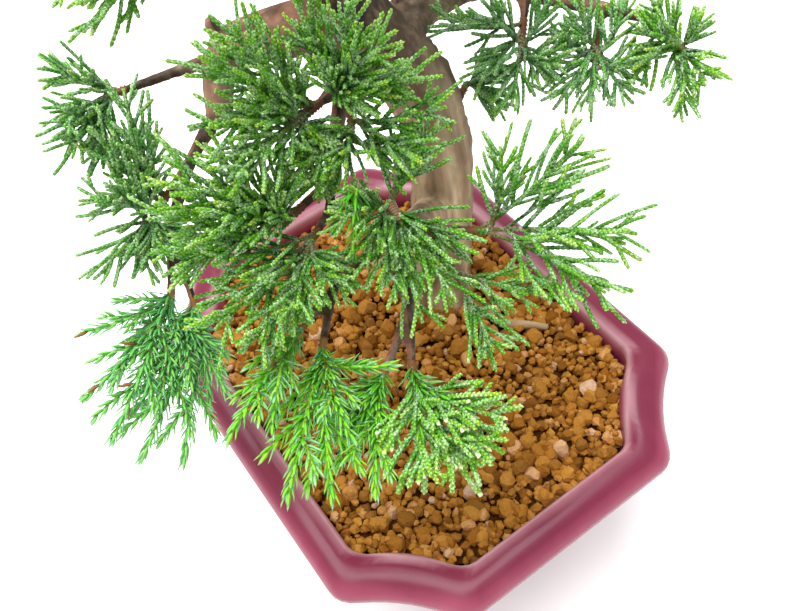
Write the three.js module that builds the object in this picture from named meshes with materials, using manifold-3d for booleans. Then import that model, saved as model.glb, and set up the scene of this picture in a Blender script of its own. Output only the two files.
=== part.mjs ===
// Itoigawa juniper bonsai in a glazed pot with cut, concave corners.
// Millimetres, +Z up. The origin is on the table under the middle of the pot;
// X runs along the pot's long side and the tree's best view is from -Y and +X.
import * as THREE from 'three';
import Module from 'manifold-3d';

const wasm = await Module();
wasm.setup();
const { Manifold, Mesh: WasmMesh } = wasm;

// Driving dimensions of the pot
const POT_LENGTH = 160;
const POT_WIDTH = 126;
const POT_HEIGHT = 60;
const LIP_WIDTH = 10.9;
const CORNER_CUT = 25.6;
const CORNER_CUT_PER_OFFSET = 0.385;
const CORNER_DIP = 2.8;
const CORNER_ROUNDING = 2.6;
const FLOOR_TOP = 13;
const FOOT_HEIGHT = 7;
const FOOT_GAP_ALONG_LENGTH = 52;
const FOOT_GAP_ALONG_WIDTH = 26;
const FOOT_GAP_SLOPE = 3;
const DRAIN_RADIUS = 6;
const DRAIN_SPACING = 68;
const DRAIN_CORNERS = 18;
const SEAT_GAP = 0.3;

// Driving dimensions of the soil and what lies in it
const SOIL_LEVEL = 52.3;
const SOIL_MOUND = 3.4;
const SOIL_MOUND_REACH = 26;
const GRAIN = 6.5;
const GRAIN_RELIEF = 1.3;
const GRAIN_SHIFT = 0.55;
const MESH_SIZE = 16;
const MESH_THICKNESS = 1;
const MESH_STRAND = 1.2;
const MESH_HOLES = 3;
const STICK_RADIUS = 1.5;
const STICK_THIN_END = 1.05;
const STICK_ENDS = [[8.5, 29.5, 55], [20.5, 41.5, 54.2]];

// Driving dimensions of the wood
const ROOT_PLUG_DEPTH = 19;
const TRUNK_FOOT = [-17, 25];
const TRUNK_SIDES = 10;
const FLARE_TOP = 64;
const FLARE_FOOT = 56;
const FLARE_LOBES = 3;
const FLARE_DEPTH = 0.14;
const FLARE_TURN = 0.6;
const HOLE_CLEARANCE = 0.45;

// Driving dimensions of the scale foliage: stems, and cords that spring from them
const STEM_RADIUS = 0.95;
const STEM_TIP_RADIUS = 0.6;
const STUB_RADIUS = 1.28;
const SUNK_RADIUS = 0.55;
const NODE_PITCH = 1.5;
const ARM_LAUNCH = 0.14;
const ARM_LEAD = 0.34;
const ARM_ARCH = 0.04;
const FORK_PITCH = 9;
const FIRST_FORK = 0.22;
const FORK_SPAN = 0.7;
const CORD_RADIUS = 0.8;
const CORD_TIP_RADIUS = 0.6;
const CORD_ROOT = 1.6;
const CORD_SHORTEST = 3.2;
const CORD_SHARE = 0.36;
const CORD_SHORTENING = 0.66;
const CORD_LEAN = 36;
const CORD_LEAN_SPREAD = 18;
const CORD_TILT_SPREAD = 0.9;
const LOWER_CORD_SHARE = 0.6;

// Driving dimensions of the young foliage: needles on stems with side shoots
const YOUNG_STEM = 0.8;
const YOUNG_BARE = 2;
const NEEDLE_RADIUS = 0.45;
const NEEDLE_LENGTH = 5.6;
const NEEDLE_SHORTENING = 0.25;
const NEEDLE_TWIST = 0.62;
const NEEDLE_LEAN = 46;
const NEEDLE_LEAN_CLOSING = 26;
const NEEDLE_LEAN_SPREAD = 8;
const WHORL_PITCH = 4.5;
const SIDE_SHOOT_PITCH = 15;
const SIDE_SHOOT_SPAN = 0.5;
const SIDE_SHOOT_SHARE = 0.42;
const SIDE_SHOOT_LEAN = 39;
const SIDE_SHOOT_LEAN_SPREAD = 10;
const SIDE_SUNK_RADIUS = 0.3;

// Spaces that the foliage keeps, and the length of root that needs none
const FOLIAGE_CLEARANCE = 0.35;
const CORD_ROOT_FREE = 2.4;
const NEEDLE_ROOT_FREE = 1;
const SHORTEST_EDGE = 0.08;

const UP = new THREE.Vector3(0, 0, 1);
const vector = ([x, y, z]) => new THREE.Vector3(x, y, z);
const degrees = THREE.MathUtils.degToRad;

// A repeatable number from 0 to 1 for each set of whole-number keys
function draw(...keys) {
  let hash = 0x9e3779b9;
  for (const key of keys) {
    hash = Math.imul(hash ^ (key + 0x7f4a7c15), 0x85ebca6b);
    hash ^= hash >>> 13;
    hash = Math.imul(hash, 0xc2b2ae35);
    hash ^= hash >>> 16;
  }
  return (hash >>> 0) / 4294967296;
}

const solidOf = (positions, triangles) => new Manifold(new WasmMesh({
  numProp: 3,
  vertProperties: new Float32Array(positions),
  triVerts: new Uint32Array(triangles),
}));

// Join a stack of rings with equal point counts into a closed solid
function ringStack(rings) {
  const count = rings[0].length;
  const positions = rings.flat().flatMap((point) => [point.x, point.y, point.z]);
  const triangles = [];
  for (let level = 0; level < rings.length - 1; level += 1) {
    for (let k = 0; k < count; k += 1) {
      const a = level * count + k;
      const b = level * count + (k + 1) % count;
      triangles.push(a, b, b + count, a, b + count, a + count);
    }
  }
  const cap = (level, flip) => {
    const ring = rings[level];
    const origin = ring[0];
    const along = ring[1].clone().sub(origin).normalize();
    const normal = new THREE.Vector3();
    ring.forEach((point, k) => normal.add(point.clone().cross(ring[(k + 1) % count])));
    normal.normalize();
    const across = normal.clone().cross(along);
    const flat = ring.map((point) => {
      const step = point.clone().sub(origin);
      return new THREE.Vector2(step.dot(along), step.dot(across));
    });
    for (const [a, b, c] of THREE.ShapeUtils.triangulateShape(flat, [])) {
      const [p, q, r] = [a, b, c].map((k) => level * count + k);
      triangles.push(...(flip ? [p, r, q] : [p, q, r]));
    }
  };
  cap(0, true);
  cap(rings.length - 1, false);
  return solidOf(positions, triangles);
}

// A tube along a list of points; shape(angle, level) scales the radius of one corner
function tube(points, radii, sides, shape = () => 1) {
  let across = null;
  const rings = points.map((point, level) => {
    const before = points[Math.max(level - 1, 0)];
    const after = points[Math.min(level + 1, points.length - 1)];
    const tangent = after.clone().sub(before).normalize();
    if (!across) {
      across = new THREE.Vector3(1, 0, 0);
      if (Math.abs(tangent.x) > 0.8) across.set(0, 1, 0);
    }
    across.addScaledVector(tangent, -across.dot(tangent)).normalize();
    const side = tangent.clone().cross(across);
    return Array.from({ length: sides }, (_, k) => {
      const angle = (2 * Math.PI * k) / sides;
      const radius = radii[level] * shape(angle, level);
      return point.clone()
        .addScaledVector(across, radius * Math.cos(angle))
        .addScaledVector(side, radius * Math.sin(angle));
    });
  });
  return ringStack(rings);
}

// Points of a quadratic bend from first to last
function bend(first, middle, last, t) {
  const u = 1 - t;
  return first.clone().multiplyScalar(u * u)
    .addScaledVector(middle, 2 * u * t)
    .addScaledVector(last, t * t);
}

function bendDirection(first, middle, last, t) {
  return middle.clone().sub(first).multiplyScalar(1 - t)
    .addScaledVector(last.clone().sub(middle), t)
    .normalize();
}

// Fuse solids into one, without the tiny edges that fusing leaves
function fuse(solids) {
  const bodies = Manifold.union(solids).simplify(SHORTEST_EDGE).decompose();
  return bodies.reduce((best, body) => (body.volume() > best.volume() ? body : best));
}

function meshOf(solid, name, material) {
  const { vertProperties, triVerts, numProp } = solid.getMesh();
  const positions = new Float32Array((vertProperties.length / numProp) * 3);
  for (let i = 0; i < positions.length / 3; i += 1) {
    for (let axis = 0; axis < 3; axis += 1) {
      positions[3 * i + axis] = vertProperties[numProp * i + axis];
    }
  }
  const geometry = new THREE.BufferGeometry();
  geometry.setAttribute('position', new THREE.BufferAttribute(positions, 3));
  geometry.setIndex(new THREE.BufferAttribute(new Uint32Array(triVerts), 1));
  geometry.computeVertexNormals();
  const mesh = new THREE.Mesh(geometry, material);
  mesh.name = name;
  return mesh;
}

const finish = (color, roughness) => new THREE.MeshStandardMaterial({
  color,
  roughness,
  metalness: 0,
});
const glaze = finish(0x8a3f58, 0.25);
const akadama = finish(0xa8672b, 0.95);
const plastic = finish(0x26282a, 0.7);
const bark = finish(0x8b7352, 0.9);
const tanWood = finish(0xb59061, 0.9);
const scaleGreen = finish(0x3f7d3c, 0.7);
const needleGreen = finish(0x62a03a, 0.7);

// The pot's outline, a distance inside its outermost edge, as points at height z
function outline(offset, z) {
  const halfLength = POT_LENGTH / 2 - offset;
  const halfWidth = POT_WIDTH / 2 - offset;
  const cut = CORNER_CUT - CORNER_CUT_PER_OFFSET * offset;
  const start = new THREE.Vector2(halfLength, halfWidth - cut);
  const end = new THREE.Vector2(halfLength - cut, halfWidth);
  const dipped = (u) => start.clone().lerp(end, u)
    .addScalar((-CORNER_DIP / Math.SQRT2) * 4 * u * (1 - u));
  const trim = CORNER_ROUNDING / cut;
  const soften = (before, corner, after) => new THREE.Vector2(
    (before.x + 2 * corner.x + after.x) / 4,
    (before.y + 2 * corner.y + after.y) / 4,
  );
  const beforeStart = new THREE.Vector2(halfLength, halfWidth - cut - CORNER_ROUNDING);
  const afterEnd = new THREE.Vector2(halfLength - cut - CORNER_ROUNDING, halfWidth);
  const quarter = [
    beforeStart,
    soften(beforeStart, start, dipped(trim)),
    dipped(trim),
    dipped(0.5),
    dipped(1 - trim),
    soften(dipped(1 - trim), end, afterEnd),
    afterEnd,
  ];
  const turned = [...quarter].reverse();
  return [
    ...quarter.map(({ x, y }) => new THREE.Vector3(x, y, z)),
    ...turned.map(({ x, y }) => new THREE.Vector3(-x, y, z)),
    ...quarter.map(({ x, y }) => new THREE.Vector3(-x, -y, z)),
    ...turned.map(({ x, y }) => new THREE.Vector3(x, -y, z)),
  ];
}

const loft = (levels) => ringStack(levels.map(([offset, z]) => outline(offset, z)));

// Offsets inside the rim and heights of the faces of the pot and of its foot ring
const OUTER_FACE = [
  [17.5, FOOT_HEIGHT], [14.6, 19], [10, 36], [6.4, 50.2],
  [1.1, 51.4], [0, 53.4], [0.3, 56], [1.8, 58.3], [4.6, 59.6], [8, POT_HEIGHT],
];
const INNER_FACE = [
  [22.5, FLOOR_TOP], [18, 26], [12.3, 50],
  [LIP_WIDTH + 0.3, 58.4], [LIP_WIDTH - 1.6, POT_HEIGHT + 0.4],
];
const FOOT_OUTER_FACE = [[19.4, 0], [18.2, FOOT_HEIGHT - 1], [18.2, FOOT_HEIGHT + 1]];
const FOOT_INNER_FACE = [[27.6, -1], [28.4, FOOT_HEIGHT]];

function extrudedSolid(shape, depth, place) {
  const geometry = new THREE.ExtrudeGeometry(shape, { depth, bevelEnabled: false });
  geometry.applyMatrix4(place);
  const source = geometry.attributes.position;
  const positions = [];
  const triangles = [];
  const known = new Map();
  for (let i = 0; i < source.count; i += 1) {
    const corner = [source.getX(i), source.getY(i), source.getZ(i)];
    const key = corner.map((value) => value.toFixed(4)).join();
    if (!known.has(key)) {
      known.set(key, positions.length / 3);
      positions.push(...corner);
    }
    triangles.push(known.get(key));
  }
  return solidOf(positions, triangles);
}

function box(width, length, bottom, top, x, y) {
  const shape = new THREE.Shape([
    new THREE.Vector2(-width / 2, -length / 2),
    new THREE.Vector2(width / 2, -length / 2),
    new THREE.Vector2(width / 2, length / 2),
    new THREE.Vector2(-width / 2, length / 2),
  ]);
  return extrudedSolid(shape, top - bottom, new THREE.Matrix4().makeTranslation(x, y, bottom));
}

// The gap between two feet, cut straight through the foot ring
function footGap(width, alongX) {
  const shape = new THREE.Shape([
    new THREE.Vector2(-width / 2 - FOOT_GAP_SLOPE, -1),
    new THREE.Vector2(width / 2 + FOOT_GAP_SLOPE, -1),
    new THREE.Vector2(width / 2, FOOT_HEIGHT),
    new THREE.Vector2(-width / 2, FOOT_HEIGHT),
  ]);
  const place = new THREE.Matrix4().makeRotationX(Math.PI / 2);
  place.premultiply(new THREE.Matrix4().makeTranslation(0, POT_LENGTH / 2, 0));
  if (alongX) place.premultiply(new THREE.Matrix4().makeRotationZ(Math.PI / 2));
  return extrudedSolid(shape, POT_LENGTH, place);
}

function drainHole(x) {
  const shape = new THREE.Shape().absarc(0, 0, DRAIN_RADIUS, 0, 2 * Math.PI);
  const points = shape.getSpacedPoints(DRAIN_CORNERS).slice(0, DRAIN_CORNERS);
  return extrudedSolid(
    new THREE.Shape(points),
    FLOOR_TOP,
    new THREE.Matrix4().makeTranslation(x, 0, 1),
  );
}

const drainPlaces = [-DRAIN_SPACING / 2, DRAIN_SPACING / 2];

function makePot() {
  const feet = loft(FOOT_OUTER_FACE).subtract(loft(FOOT_INNER_FACE))
    .subtract(footGap(FOOT_GAP_ALONG_LENGTH, false))
    .subtract(footGap(FOOT_GAP_ALONG_WIDTH, true));
  let pot = loft(OUTER_FACE).subtract(loft(INNER_FACE)).add(feet);
  for (const x of drainPlaces) pot = pot.subtract(drainHole(x));
  return meshOf(pot, 'pot', glaze);
}

// A square of plastic mesh that lies over a drain hole inside the pot
function makeDrainMesh(x, name) {
  const bottom = FLOOR_TOP + SEAT_GAP;
  const pitch = (MESH_SIZE - MESH_STRAND) / MESH_HOLES;
  let sheet = box(MESH_SIZE, MESH_SIZE, bottom, bottom + MESH_THICKNESS, x, 0);
  for (let row = 0; row < MESH_HOLES; row += 1) {
    for (let column = 0; column < MESH_HOLES; column += 1) {
      const place = (index) => (index - (MESH_HOLES - 1) / 2) * pitch;
      const hole = pitch - MESH_STRAND;
      sheet = sheet.subtract(box(
        hole,
        hole,
        bottom - 1,
        bottom + MESH_THICKNESS + 1,
        x + place(column),
        place(row),
      ));
    }
  }
  return meshOf(sheet, name, plastic);
}

function soilHeight(x, y) {
  const away = Math.hypot(x - TRUNK_FOOT[0], y - TRUNK_FOOT[1]);
  return SOIL_LEVEL + SOIL_MOUND * Math.exp(-((away / SOIL_MOUND_REACH) ** 2));
}

// The soil's coarse, granular top over a block that the pot's inside then trims
function granularBlock() {
  const columns = Math.ceil(POT_LENGTH / GRAIN);
  const rows = Math.ceil(POT_WIDTH / GRAIN);
  const positions = [];
  const triangles = [];
  const layer = (columns + 1) * (rows + 1);
  for (const top of [false, true]) {
    for (let j = 0; j <= rows; j += 1) {
      for (let i = 0; i <= columns; i += 1) {
        const inside = i > 0 && i < columns && j > 0 && j < rows;
        const shift = (key) => (inside ? (draw(i, j, key) - 0.5) * GRAIN_SHIFT * GRAIN : 0);
        const x = (i - columns / 2) * GRAIN + shift(1);
        const y = (j - rows / 2) * GRAIN + shift(2);
        const grain = (draw(i, j, 3) - 0.5) * 2 * GRAIN_RELIEF;
        positions.push(x, y, top ? soilHeight(x, y) + grain : 0);
      }
    }
  }
  const corner = (i, j) => j * (columns + 1) + i;
  for (let j = 0; j < rows; j += 1) {
    for (let i = 0; i < columns; i += 1) {
      const [a, b, c, d] = [corner(i, j), corner(i + 1, j), corner(i + 1, j + 1), corner(i, j + 1)];
      triangles.push(a + layer, b + layer, c + layer, a + layer, c + layer, d + layer);
      triangles.push(a, c, b, a, d, c);
    }
  }
  const wall = (a, b) => triangles.push(a, b, b + layer, a, b + layer, a + layer);
  for (let i = 0; i < columns; i += 1) {
    wall(corner(i, 0), corner(i + 1, 0));
    wall(corner(i + 1, rows), corner(i, rows));
  }
  for (let j = 0; j < rows; j += 1) {
    wall(corner(columns, j), corner(columns, j + 1));
    wall(corner(0, j + 1), corner(0, j));
  }
  return solidOf(positions, triangles);
}

// Wood: each row is x, y, z and radius of one point along a trunk, limb or branch
const TRUNK = [
  [-17, 25, SOIL_LEVEL - ROOT_PLUG_DEPTH, 12.6], [-17, 25, 56, 12.6],
  [-17.2, 26, 61, 11.4], [-17.5, 27.4, 69, 10.4], [-18, 29.5, 82, 9.9],
  [-18.5, 31.6, 97, 9.5], [-19.5, 33, 111, 9.3], [-22, 32, 125, 9.5],
  [-26, 28.5, 138, 10], [-31, 22.8, 150, 9], [-35, 17, 162, 7.4],
  [-38, 11, 175, 6], [-36, 5, 189, 4.9], [-29, 1, 203, 3.9],
  [-21, -1, 216, 3], [-15, 0, 228, 2.2], [-12, 3, 239, 1.2],
];
const LIMBS = [
  {
    sides: 8,
    path: [
      [-29, 25, 145, 8.4], [-41, 15, 151, 7.8], [-51, 4, 149, 7.2],
      [-58, -7, 146, 6], [-56, -14, 141, 4.6], [-48, -20, 135, 3.6],
    ],
  },
  { sides: 6, path: [[-58, -7, 146, 3], [-61, -9, 151, 2.6], [-62, -10, 155, 1.3]] },
  {
    sides: 7,
    path: [
      [-28, 27, 142, 7.4], [-38, 38, 142, 6], [-42, 49, 141, 5], [-40, 60, 142, 4.2],
      [-33, 68, 142, 3.4], [-22, 75, 141, 2.6], [-7, 82, 141, 2], [3, 87, 141, 1.5],
    ],
  },
  {
    sides: 6,
    path: [
      [-18, 30, 90, 6.4], [-8, 18, 101, 4.8], [1, 8, 112, 4],
      [7, 0, 119, 3.3], [14, -4, 119, 2.6], [22, -9, 115, 1.9],
    ],
  },
  { sides: 6, path: [[-26, 29, 138, 5.4], [-38, 31, 143, 3.6], [-48, 31, 148, 2.2]] },
];

// Foliage: a twig of wood ends at each bunch, whose arms are given by bearing
// from +X towards +Y, rise above level and length
const BUNCHES = [
  {
    name: 'upper_left',
    twig: [[-29, 21, 148, 4.4], [-20, 6, 150, 3], [-15, -4, 152, 1.1]],
    arms: [[-93, 47, 35], [-100, 64, 32], [-80, 27, 31], [-62, 12, 30]],
  },
  {
    name: 'upper_front',
    twig: [[-22, 9, 150, 1.8], [-15, 5, 154, 1.3], [-12, 2, 156, 1.1]],
    arms: [[-125, 74, 26], [79, 76, 22], [46, 10, 21], [52, 46, 20]],
  },
  {
    name: 'upper_low',
    twig: [[-20, 6, 150, 2], [-15, 5, 149, 1.4], [-11, 2, 148, 1.1]],
    arms: [[5, 6, 27], [34, 20, 27], [-38, 7, 17], [-72, 10, 19]],
  },
  {
    name: 'left_front',
    twig: [[-20, 6, 150, 2.4], [-13, -3, 141, 1.9], [-9, -8, 134, 1.6], [-4, -20, 135, 1.1]],
    arms: [[-97, 26, 37], [-110, 42, 34], [-84, 14, 33], [-118, 66, 27]],
  },
  {
    name: 'left_low',
    twig: [[-9, -8, 134, 1.5], [-2, -14, 131, 1.3], [2, -20, 131, 1.1]],
    arms: [[-72, 3, 36], [-56, -3, 32], [-38, 10, 24]],
  },
  {
    name: 'centre',
    twig: [[7, 0, 119, 2.4], [6, -1, 126, 1.6], [8, -2, 130, 1.1]],
    arms: [[-22, -16, 31], [-4, -13, 30], [-78, 32, 18], [95, 42, 22]],
  },
  {
    name: 'right_long',
    twig: [[7, 0, 119, 2.4], [18, 4, 127, 1.5], [26, 9, 130, 1.1]],
    arms: [[33, 17, 39], [66, 42, 32], [15, 1, 34], [122, 62, 21]],
  },
  {
    name: 'right_low',
    twig: [[17, 3, 126, 1.4], [23, 2, 123, 1.2], [27, 2, 122, 1.1]],
    arms: [[30, 3, 22], [-16, -7, 23]],
  },
  {
    name: 'low_front',
    twig: [[21, -8, 116, 1.9], [30, -14, 111, 1.4], [36, -18, 109, 1.1]],
    arms: [[-31, -7, 29], [-12, -6, 28], [20, 8, 27], [6, 3, 27]],
  },
  {
    name: 'low_side',
    kind: 'needle',
    twig: [[25, -11, 113, 1.5], [30, -19, 110, 1.2], [33, -24, 109, 1.1]],
    arms: [[-40, -8, 30], [-82, -6, 19], [-62, -9, 22]],
  },
  {
    name: 'young_left',
    kind: 'needle',
    twig: [[7, 0, 119, 2.2], [9, -17, 119, 1.5], [15, -35, 118, 1.1]],
    arms: [[-60, 4, 33], [-45, -1, 26]],
  },
  {
    name: 'young_front',
    kind: 'needle',
    twig: [[11, -24, 118, 1.4], [17, -30, 116, 1.1], [20, -33, 115, 1]],
    arms: [[-31, -9, 38], [-18, 2, 26], [-45, -4, 36], [36, 14, 19]],
  },
  {
    name: 'far_left_top',
    twig: [[-58, -9, 145, 2.6], [-63, -24, 144, 1.6], [-63, -38, 146, 1.2]],
    arms: [[-110, 40, 20], [-63, -7, 22], [-40, -24, 21], [-50, 18, 20]],
  },
  {
    name: 'far_left_middle',
    twig: [[-50, -19, 136, 2.8], [-45, -32, 130, 1.6], [-41, -43, 126, 1.1]],
    arms: [[165, 56, 30], [-148, 62, 26], [-95, 42, 20], [-66, -1, 22]],
  },
  {
    name: 'far_left_low',
    kind: 'needle',
    twig: [[-45, -33, 129, 1.8], [-36, -46, 120, 1.5], [-25, -55, 111, 1]],
    arms: [[-53, -14, 42], [-88, 12, 24], [-70, -5, 33]],
  },
  {
    name: 'far_left_hanging',
    kind: 'needle',
    twig: [[-36, -46, 120, 1.5], [-27, -50, 111, 1.2], [-20, -52, 107, 1]],
    arms: [[-54, -20, 42], [-40, -24, 40], [-28, -28, 23]],
  },
  {
    name: 'right_first',
    twig: [[-28, 71, 142, 2.2], [-24, 69, 139, 1.5], [-22, 67, 137, 1.1]],
    arms: [[-108, 17, 26], [-76, -10, 20], [-49, -25, 22], [-12, -18, 16]],
  },
  {
    name: 'right_second',
    twig: [[-8, 82, 141, 1.7], [-5, 80, 139, 1.3], [-3, 78, 137, 1.1]],
    arms: [[-77, -30, 20], [-51, -29, 18], [-13, -19, 16]],
  },
  {
    name: 'right_end',
    twig: [[1, 86, 141, 1.5], [7, 88, 141, 1.3], [11, 88, 140, 1.1]],
    arms: [[-83, -21, 14], [-32, -23, 20], [-13, -9, 16]],
  },
  {
    name: 'behind_trunk',
    twig: [[-21, 35, 115, 2], [-25, 44, 118, 1.4], [-26, 47, 120, 1.1]],
    arms: [[64, 24, 14], [14, -14, 14]],
  },
  {
    name: 'back_left',
    twig: [[-45, 31, 146, 2.2], [-50, 30, 149, 1.6], [-54, 29, 151, 1.1]],
    arms: [[168, 24, 18], [-146, 8, 21], [122, 8, 24]],
  },
  {
    name: 'back_right',
    twig: [[-38, 31, 143, 2.6], [-45, 42, 148, 1.7], [-48, 48, 150, 1.1]],
    arms: [[104, 6, 25], [70, 2, 22], [140, -2, 24]],
  },
  {
    name: 'crown_left',
    twig: [[-36, 6, 186, 2.8], [-40, -7, 187, 2], [-42, -17, 188, 1.2]],
    arms: [[-92, 0, 28], [-122, 6, 25], [-64, -6, 26], [-92, 40, 19]],
  },
  {
    name: 'crown_back_low',
    twig: [[-38, 11, 174, 2.8], [-47, 9, 179, 2], [-52, 8, 181, 1.2]],
    arms: [[-170, 10, 20], [-140, 2, 24], [142, -2, 24]],
  },
  {
    name: 'crown_right',
    twig: [[-29, 1, 203, 2.4], [-27, 13, 203, 1.8], [-26, 21, 203, 1.2]],
    arms: [[92, 2, 26], [58, 4, 26], [124, 2, 24]],
  },
  {
    name: 'crown_front',
    twig: [[-21, -1, 216, 2.2], [-11, -7, 218, 1.6], [-5, -10, 219, 1.1]],
    arms: [[-30, 4, 26], [-66, 6, 24], [8, 4, 24], [-28, 42, 17]],
  },
  {
    name: 'crown_back',
    twig: [[-37, 8, 181, 2.6], [-43, 22, 183, 1.8], [-46, 30, 184, 1.2]],
    arms: [[102, 0, 26], [138, 6, 24], [68, -4, 24]],
  },
  {
    name: 'crown_left_high',
    twig: [[-24, 0, 211, 2.2], [-28, -11, 213, 1.6], [-30, -18, 214, 1.1]],
    arms: [[-88, 2, 26], [-126, 6, 24], [-52, 0, 24]],
  },
  {
    name: 'crown_back_high',
    twig: [[-27, 0, 207, 2.2], [-38, 5, 212, 1.6], [-44, 7, 214, 1.1]],
    arms: [[176, 4, 24], [-148, 8, 22], [140, 2, 24]],
  },
  {
    name: 'crown_right_high',
    twig: [[-16, 0, 227, 1.8], [-9, 8, 229, 1.4], [-6, 14, 230, 1.1]],
    arms: [[54, 2, 23], [100, 4, 23], [12, 6, 22]],
  },
  {
    name: 'crown_right_low',
    twig: [[-36, 15, 166, 3], [-28, 28, 172, 2], [-25, 36, 174, 1.2]],
    arms: [[70, -2, 26], [112, 2, 24], [32, 2, 25]],
  },
  {
    name: 'apex',
    twig: [[-15, 0, 228, 1.6], [-12, 3, 239, 1.2]],
    arms: [[10, 48, 18], [130, 58, 18], [-110, 52, 18], [-50, 14, 20], [190, 18, 20]],
  },
];

// Lines with a thickness that already stand in space, for keeping shoots clear
const occupied = [];

function distanceBetween(a, b, c, d) {
  const u = b.clone().sub(a);
  const v = d.clone().sub(c);
  const w = a.clone().sub(c);
  const [uu, uv, vv, uw, vw] = [u.dot(u), u.dot(v), v.dot(v), u.dot(w), v.dot(w)];
  const det = uu * vv - uv * uv;
  const limit = (value) => Math.min(Math.max(value, 0), 1);
  let s = det > 1e-9 ? limit((uv * vw - vv * uw) / det) : 0;
  const t = limit((uv * s + vw) / vv);
  s = limit((uv * t - uw) / uu);
  return w.addScaledVector(u, s).addScaledVector(v, -t).length();
}

const middleOf = (a, b) => a.clone().add(b).multiplyScalar(0.5);

function isClear(a, b, radius, owner) {
  const middle = middleOf(a, b);
  const reach = a.distanceTo(b) / 2;
  return occupied.every((line) => {
    if (line.owner === owner) return true;
    const needed = radius + line.radius + FOLIAGE_CLEARANCE;
    return middle.distanceTo(line.middle) > needed + reach + line.reach
      || distanceBetween(a, b, line.a, line.b) > needed;
  });
}

function occupy(a, b, radius, owner) {
  const reach = a.distanceTo(b) / 2;
  occupied.push({ a, b, radius, owner, middle: middleOf(a, b), reach });
}

function heading(bearing, rise) {
  const [turn, lift] = [degrees(bearing), degrees(rise)];
  return new THREE.Vector3(
    Math.cos(turn) * Math.cos(lift),
    Math.sin(turn) * Math.cos(lift),
    Math.sin(lift),
  );
}

// The bent line of an arm, which leaves the twig along the twig's own direction
function armLine(start, launch, [bearing, rise, length]) {
  const toward = heading(bearing, rise);
  const middle = start.clone()
    .addScaledVector(launch, ARM_LAUNCH * length)
    .addScaledVector(toward, ARM_LEAD * length)
    .addScaledVector(UP, ARM_ARCH * length);
  const line = [start, middle, start.clone().addScaledVector(toward, length)];
  const left = UP.clone().cross(toward).normalize();
  return { line, length, left, sunkRadius: SUNK_RADIUS };
}

// The directions of a shoot at one place along it: forward, left and over
function frameAt({ line, left }, along) {
  const forward = bendDirection(...line, along);
  const across = left.clone().addScaledVector(forward, -left.dot(forward)).normalize();
  return { forward, across, over: forward.clone().cross(across) };
}

const around = ({ across, over }, angle) => across.clone()
  .multiplyScalar(Math.cos(angle))
  .addScaledVector(over, Math.sin(angle));

// A skin grows ring by ring, and a side shoot springs from any face of it
const newSkin = () => ({ positions: [], triangles: [], count: 0 });

function addPoint(skin, point) {
  skin.positions.push(point.x, point.y, point.z);
  skin.count += 1;
  return skin.count - 1;
}

const pointOf = (skin, index) => new THREE.Vector3()
  .fromArray(skin.positions, 3 * index);

function addFace(skin, corners) {
  for (let k = 1; k < corners.length - 1; k += 1) {
    skin.triangles.push(corners[0], corners[k], corners[k + 1]);
  }
}

const centreOf = (skin, ring) => ring
  .reduce((sum, index) => sum.add(pointOf(skin, index)), new THREE.Vector3())
  .divideScalar(ring.length);

// A pointed needle on a face
function growNeedle(skin, [a, b, c, d], tip) {
  const point = addPoint(skin, tip);
  addFace(skin, [a, b, point]);
  addFace(skin, [b, c, point]);
  addFace(skin, [c, d, point]);
  addFace(skin, [d, a, point]);
}

// A cord on a face, as thick as the face at its root and blunt in the spray's plane
function growCord(skin, [a, b, c, d], tip, halfWidth) {
  const near = middleOf(pointOf(skin, a), pointOf(skin, b));
  const far = middleOf(pointOf(skin, c), pointOf(skin, d));
  const ridge = far.sub(near);
  const toward = tip.clone().sub(near).normalize();
  ridge.addScaledVector(toward, -ridge.dot(toward)).setLength(halfWidth);
  const p = addPoint(skin, tip.clone().sub(ridge));
  const q = addPoint(skin, tip.clone().add(ridge));
  addFace(skin, [b, c, q, p]);
  addFace(skin, [d, a, p, q]);
  addFace(skin, [a, b, p]);
  addFace(skin, [c, d, q]);
}

// Three-sided rings along a shoot; onFace may grow something in place of a face
function growShoot(shoot, rings, onFace) {
  const skin = newSkin();
  let below = null;
  rings.forEach(({ along, radius, twist }, level) => {
    const frame = frameAt(shoot, along);
    const centre = bend(...shoot.line, along);
    const ring = [0, 1, 2].map((k) => {
      const angle = (2 * Math.PI * k) / 3 - Math.PI / 6 + twist;
      return addPoint(skin, centre.clone().addScaledVector(around(frame, angle), radius));
    });
    if (below) {
      for (let k = 0; k < 3; k += 1) {
        const face = [below[k], below[(k + 1) % 3], ring[(k + 1) % 3], ring[k]];
        if (!onFace(skin, face, level, k)) addFace(skin, face);
      }
    } else {
      addFace(skin, [ring[2], ring[1], ring[0]]);
    }
    below = ring;
  });
  addFace(skin, below);
  return skin;
}

const taper = (along) => STEM_RADIUS + (STEM_TIP_RADIUS - STEM_RADIUS) * along;

// The tip of something that leaves a face at a lean from the shoot's own direction
function leaningTip(skin, face, shoot, along, lean, tilt, size) {
  const root = centreOf(skin, face);
  const { forward } = frameAt(shoot, along);
  const outward = root.clone().sub(bend(...shoot.line, along));
  outward.addScaledVector(forward, -outward.dot(forward)).normalize();
  outward.applyAxisAngle(forward, tilt);
  return [root, root.clone()
    .addScaledVector(forward, size * Math.cos(lean))
    .addScaledVector(outward, size * Math.sin(lean))];
}

// Keep what grows clear of all else: shortened where it must be, null if it never fits
function fitted(root, tip, radius, rootFree, owner) {
  for (const share of [1, 0.75, 0.5]) {
    const end = root.clone().lerp(tip, share);
    const start = root.clone().lerp(end, Math.min(rootFree / root.distanceTo(end), 0.6));
    if (isClear(start, end, radius, owner)) {
      occupy(start, end, radius);
      return end;
    }
  }
  return null;
}

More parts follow.
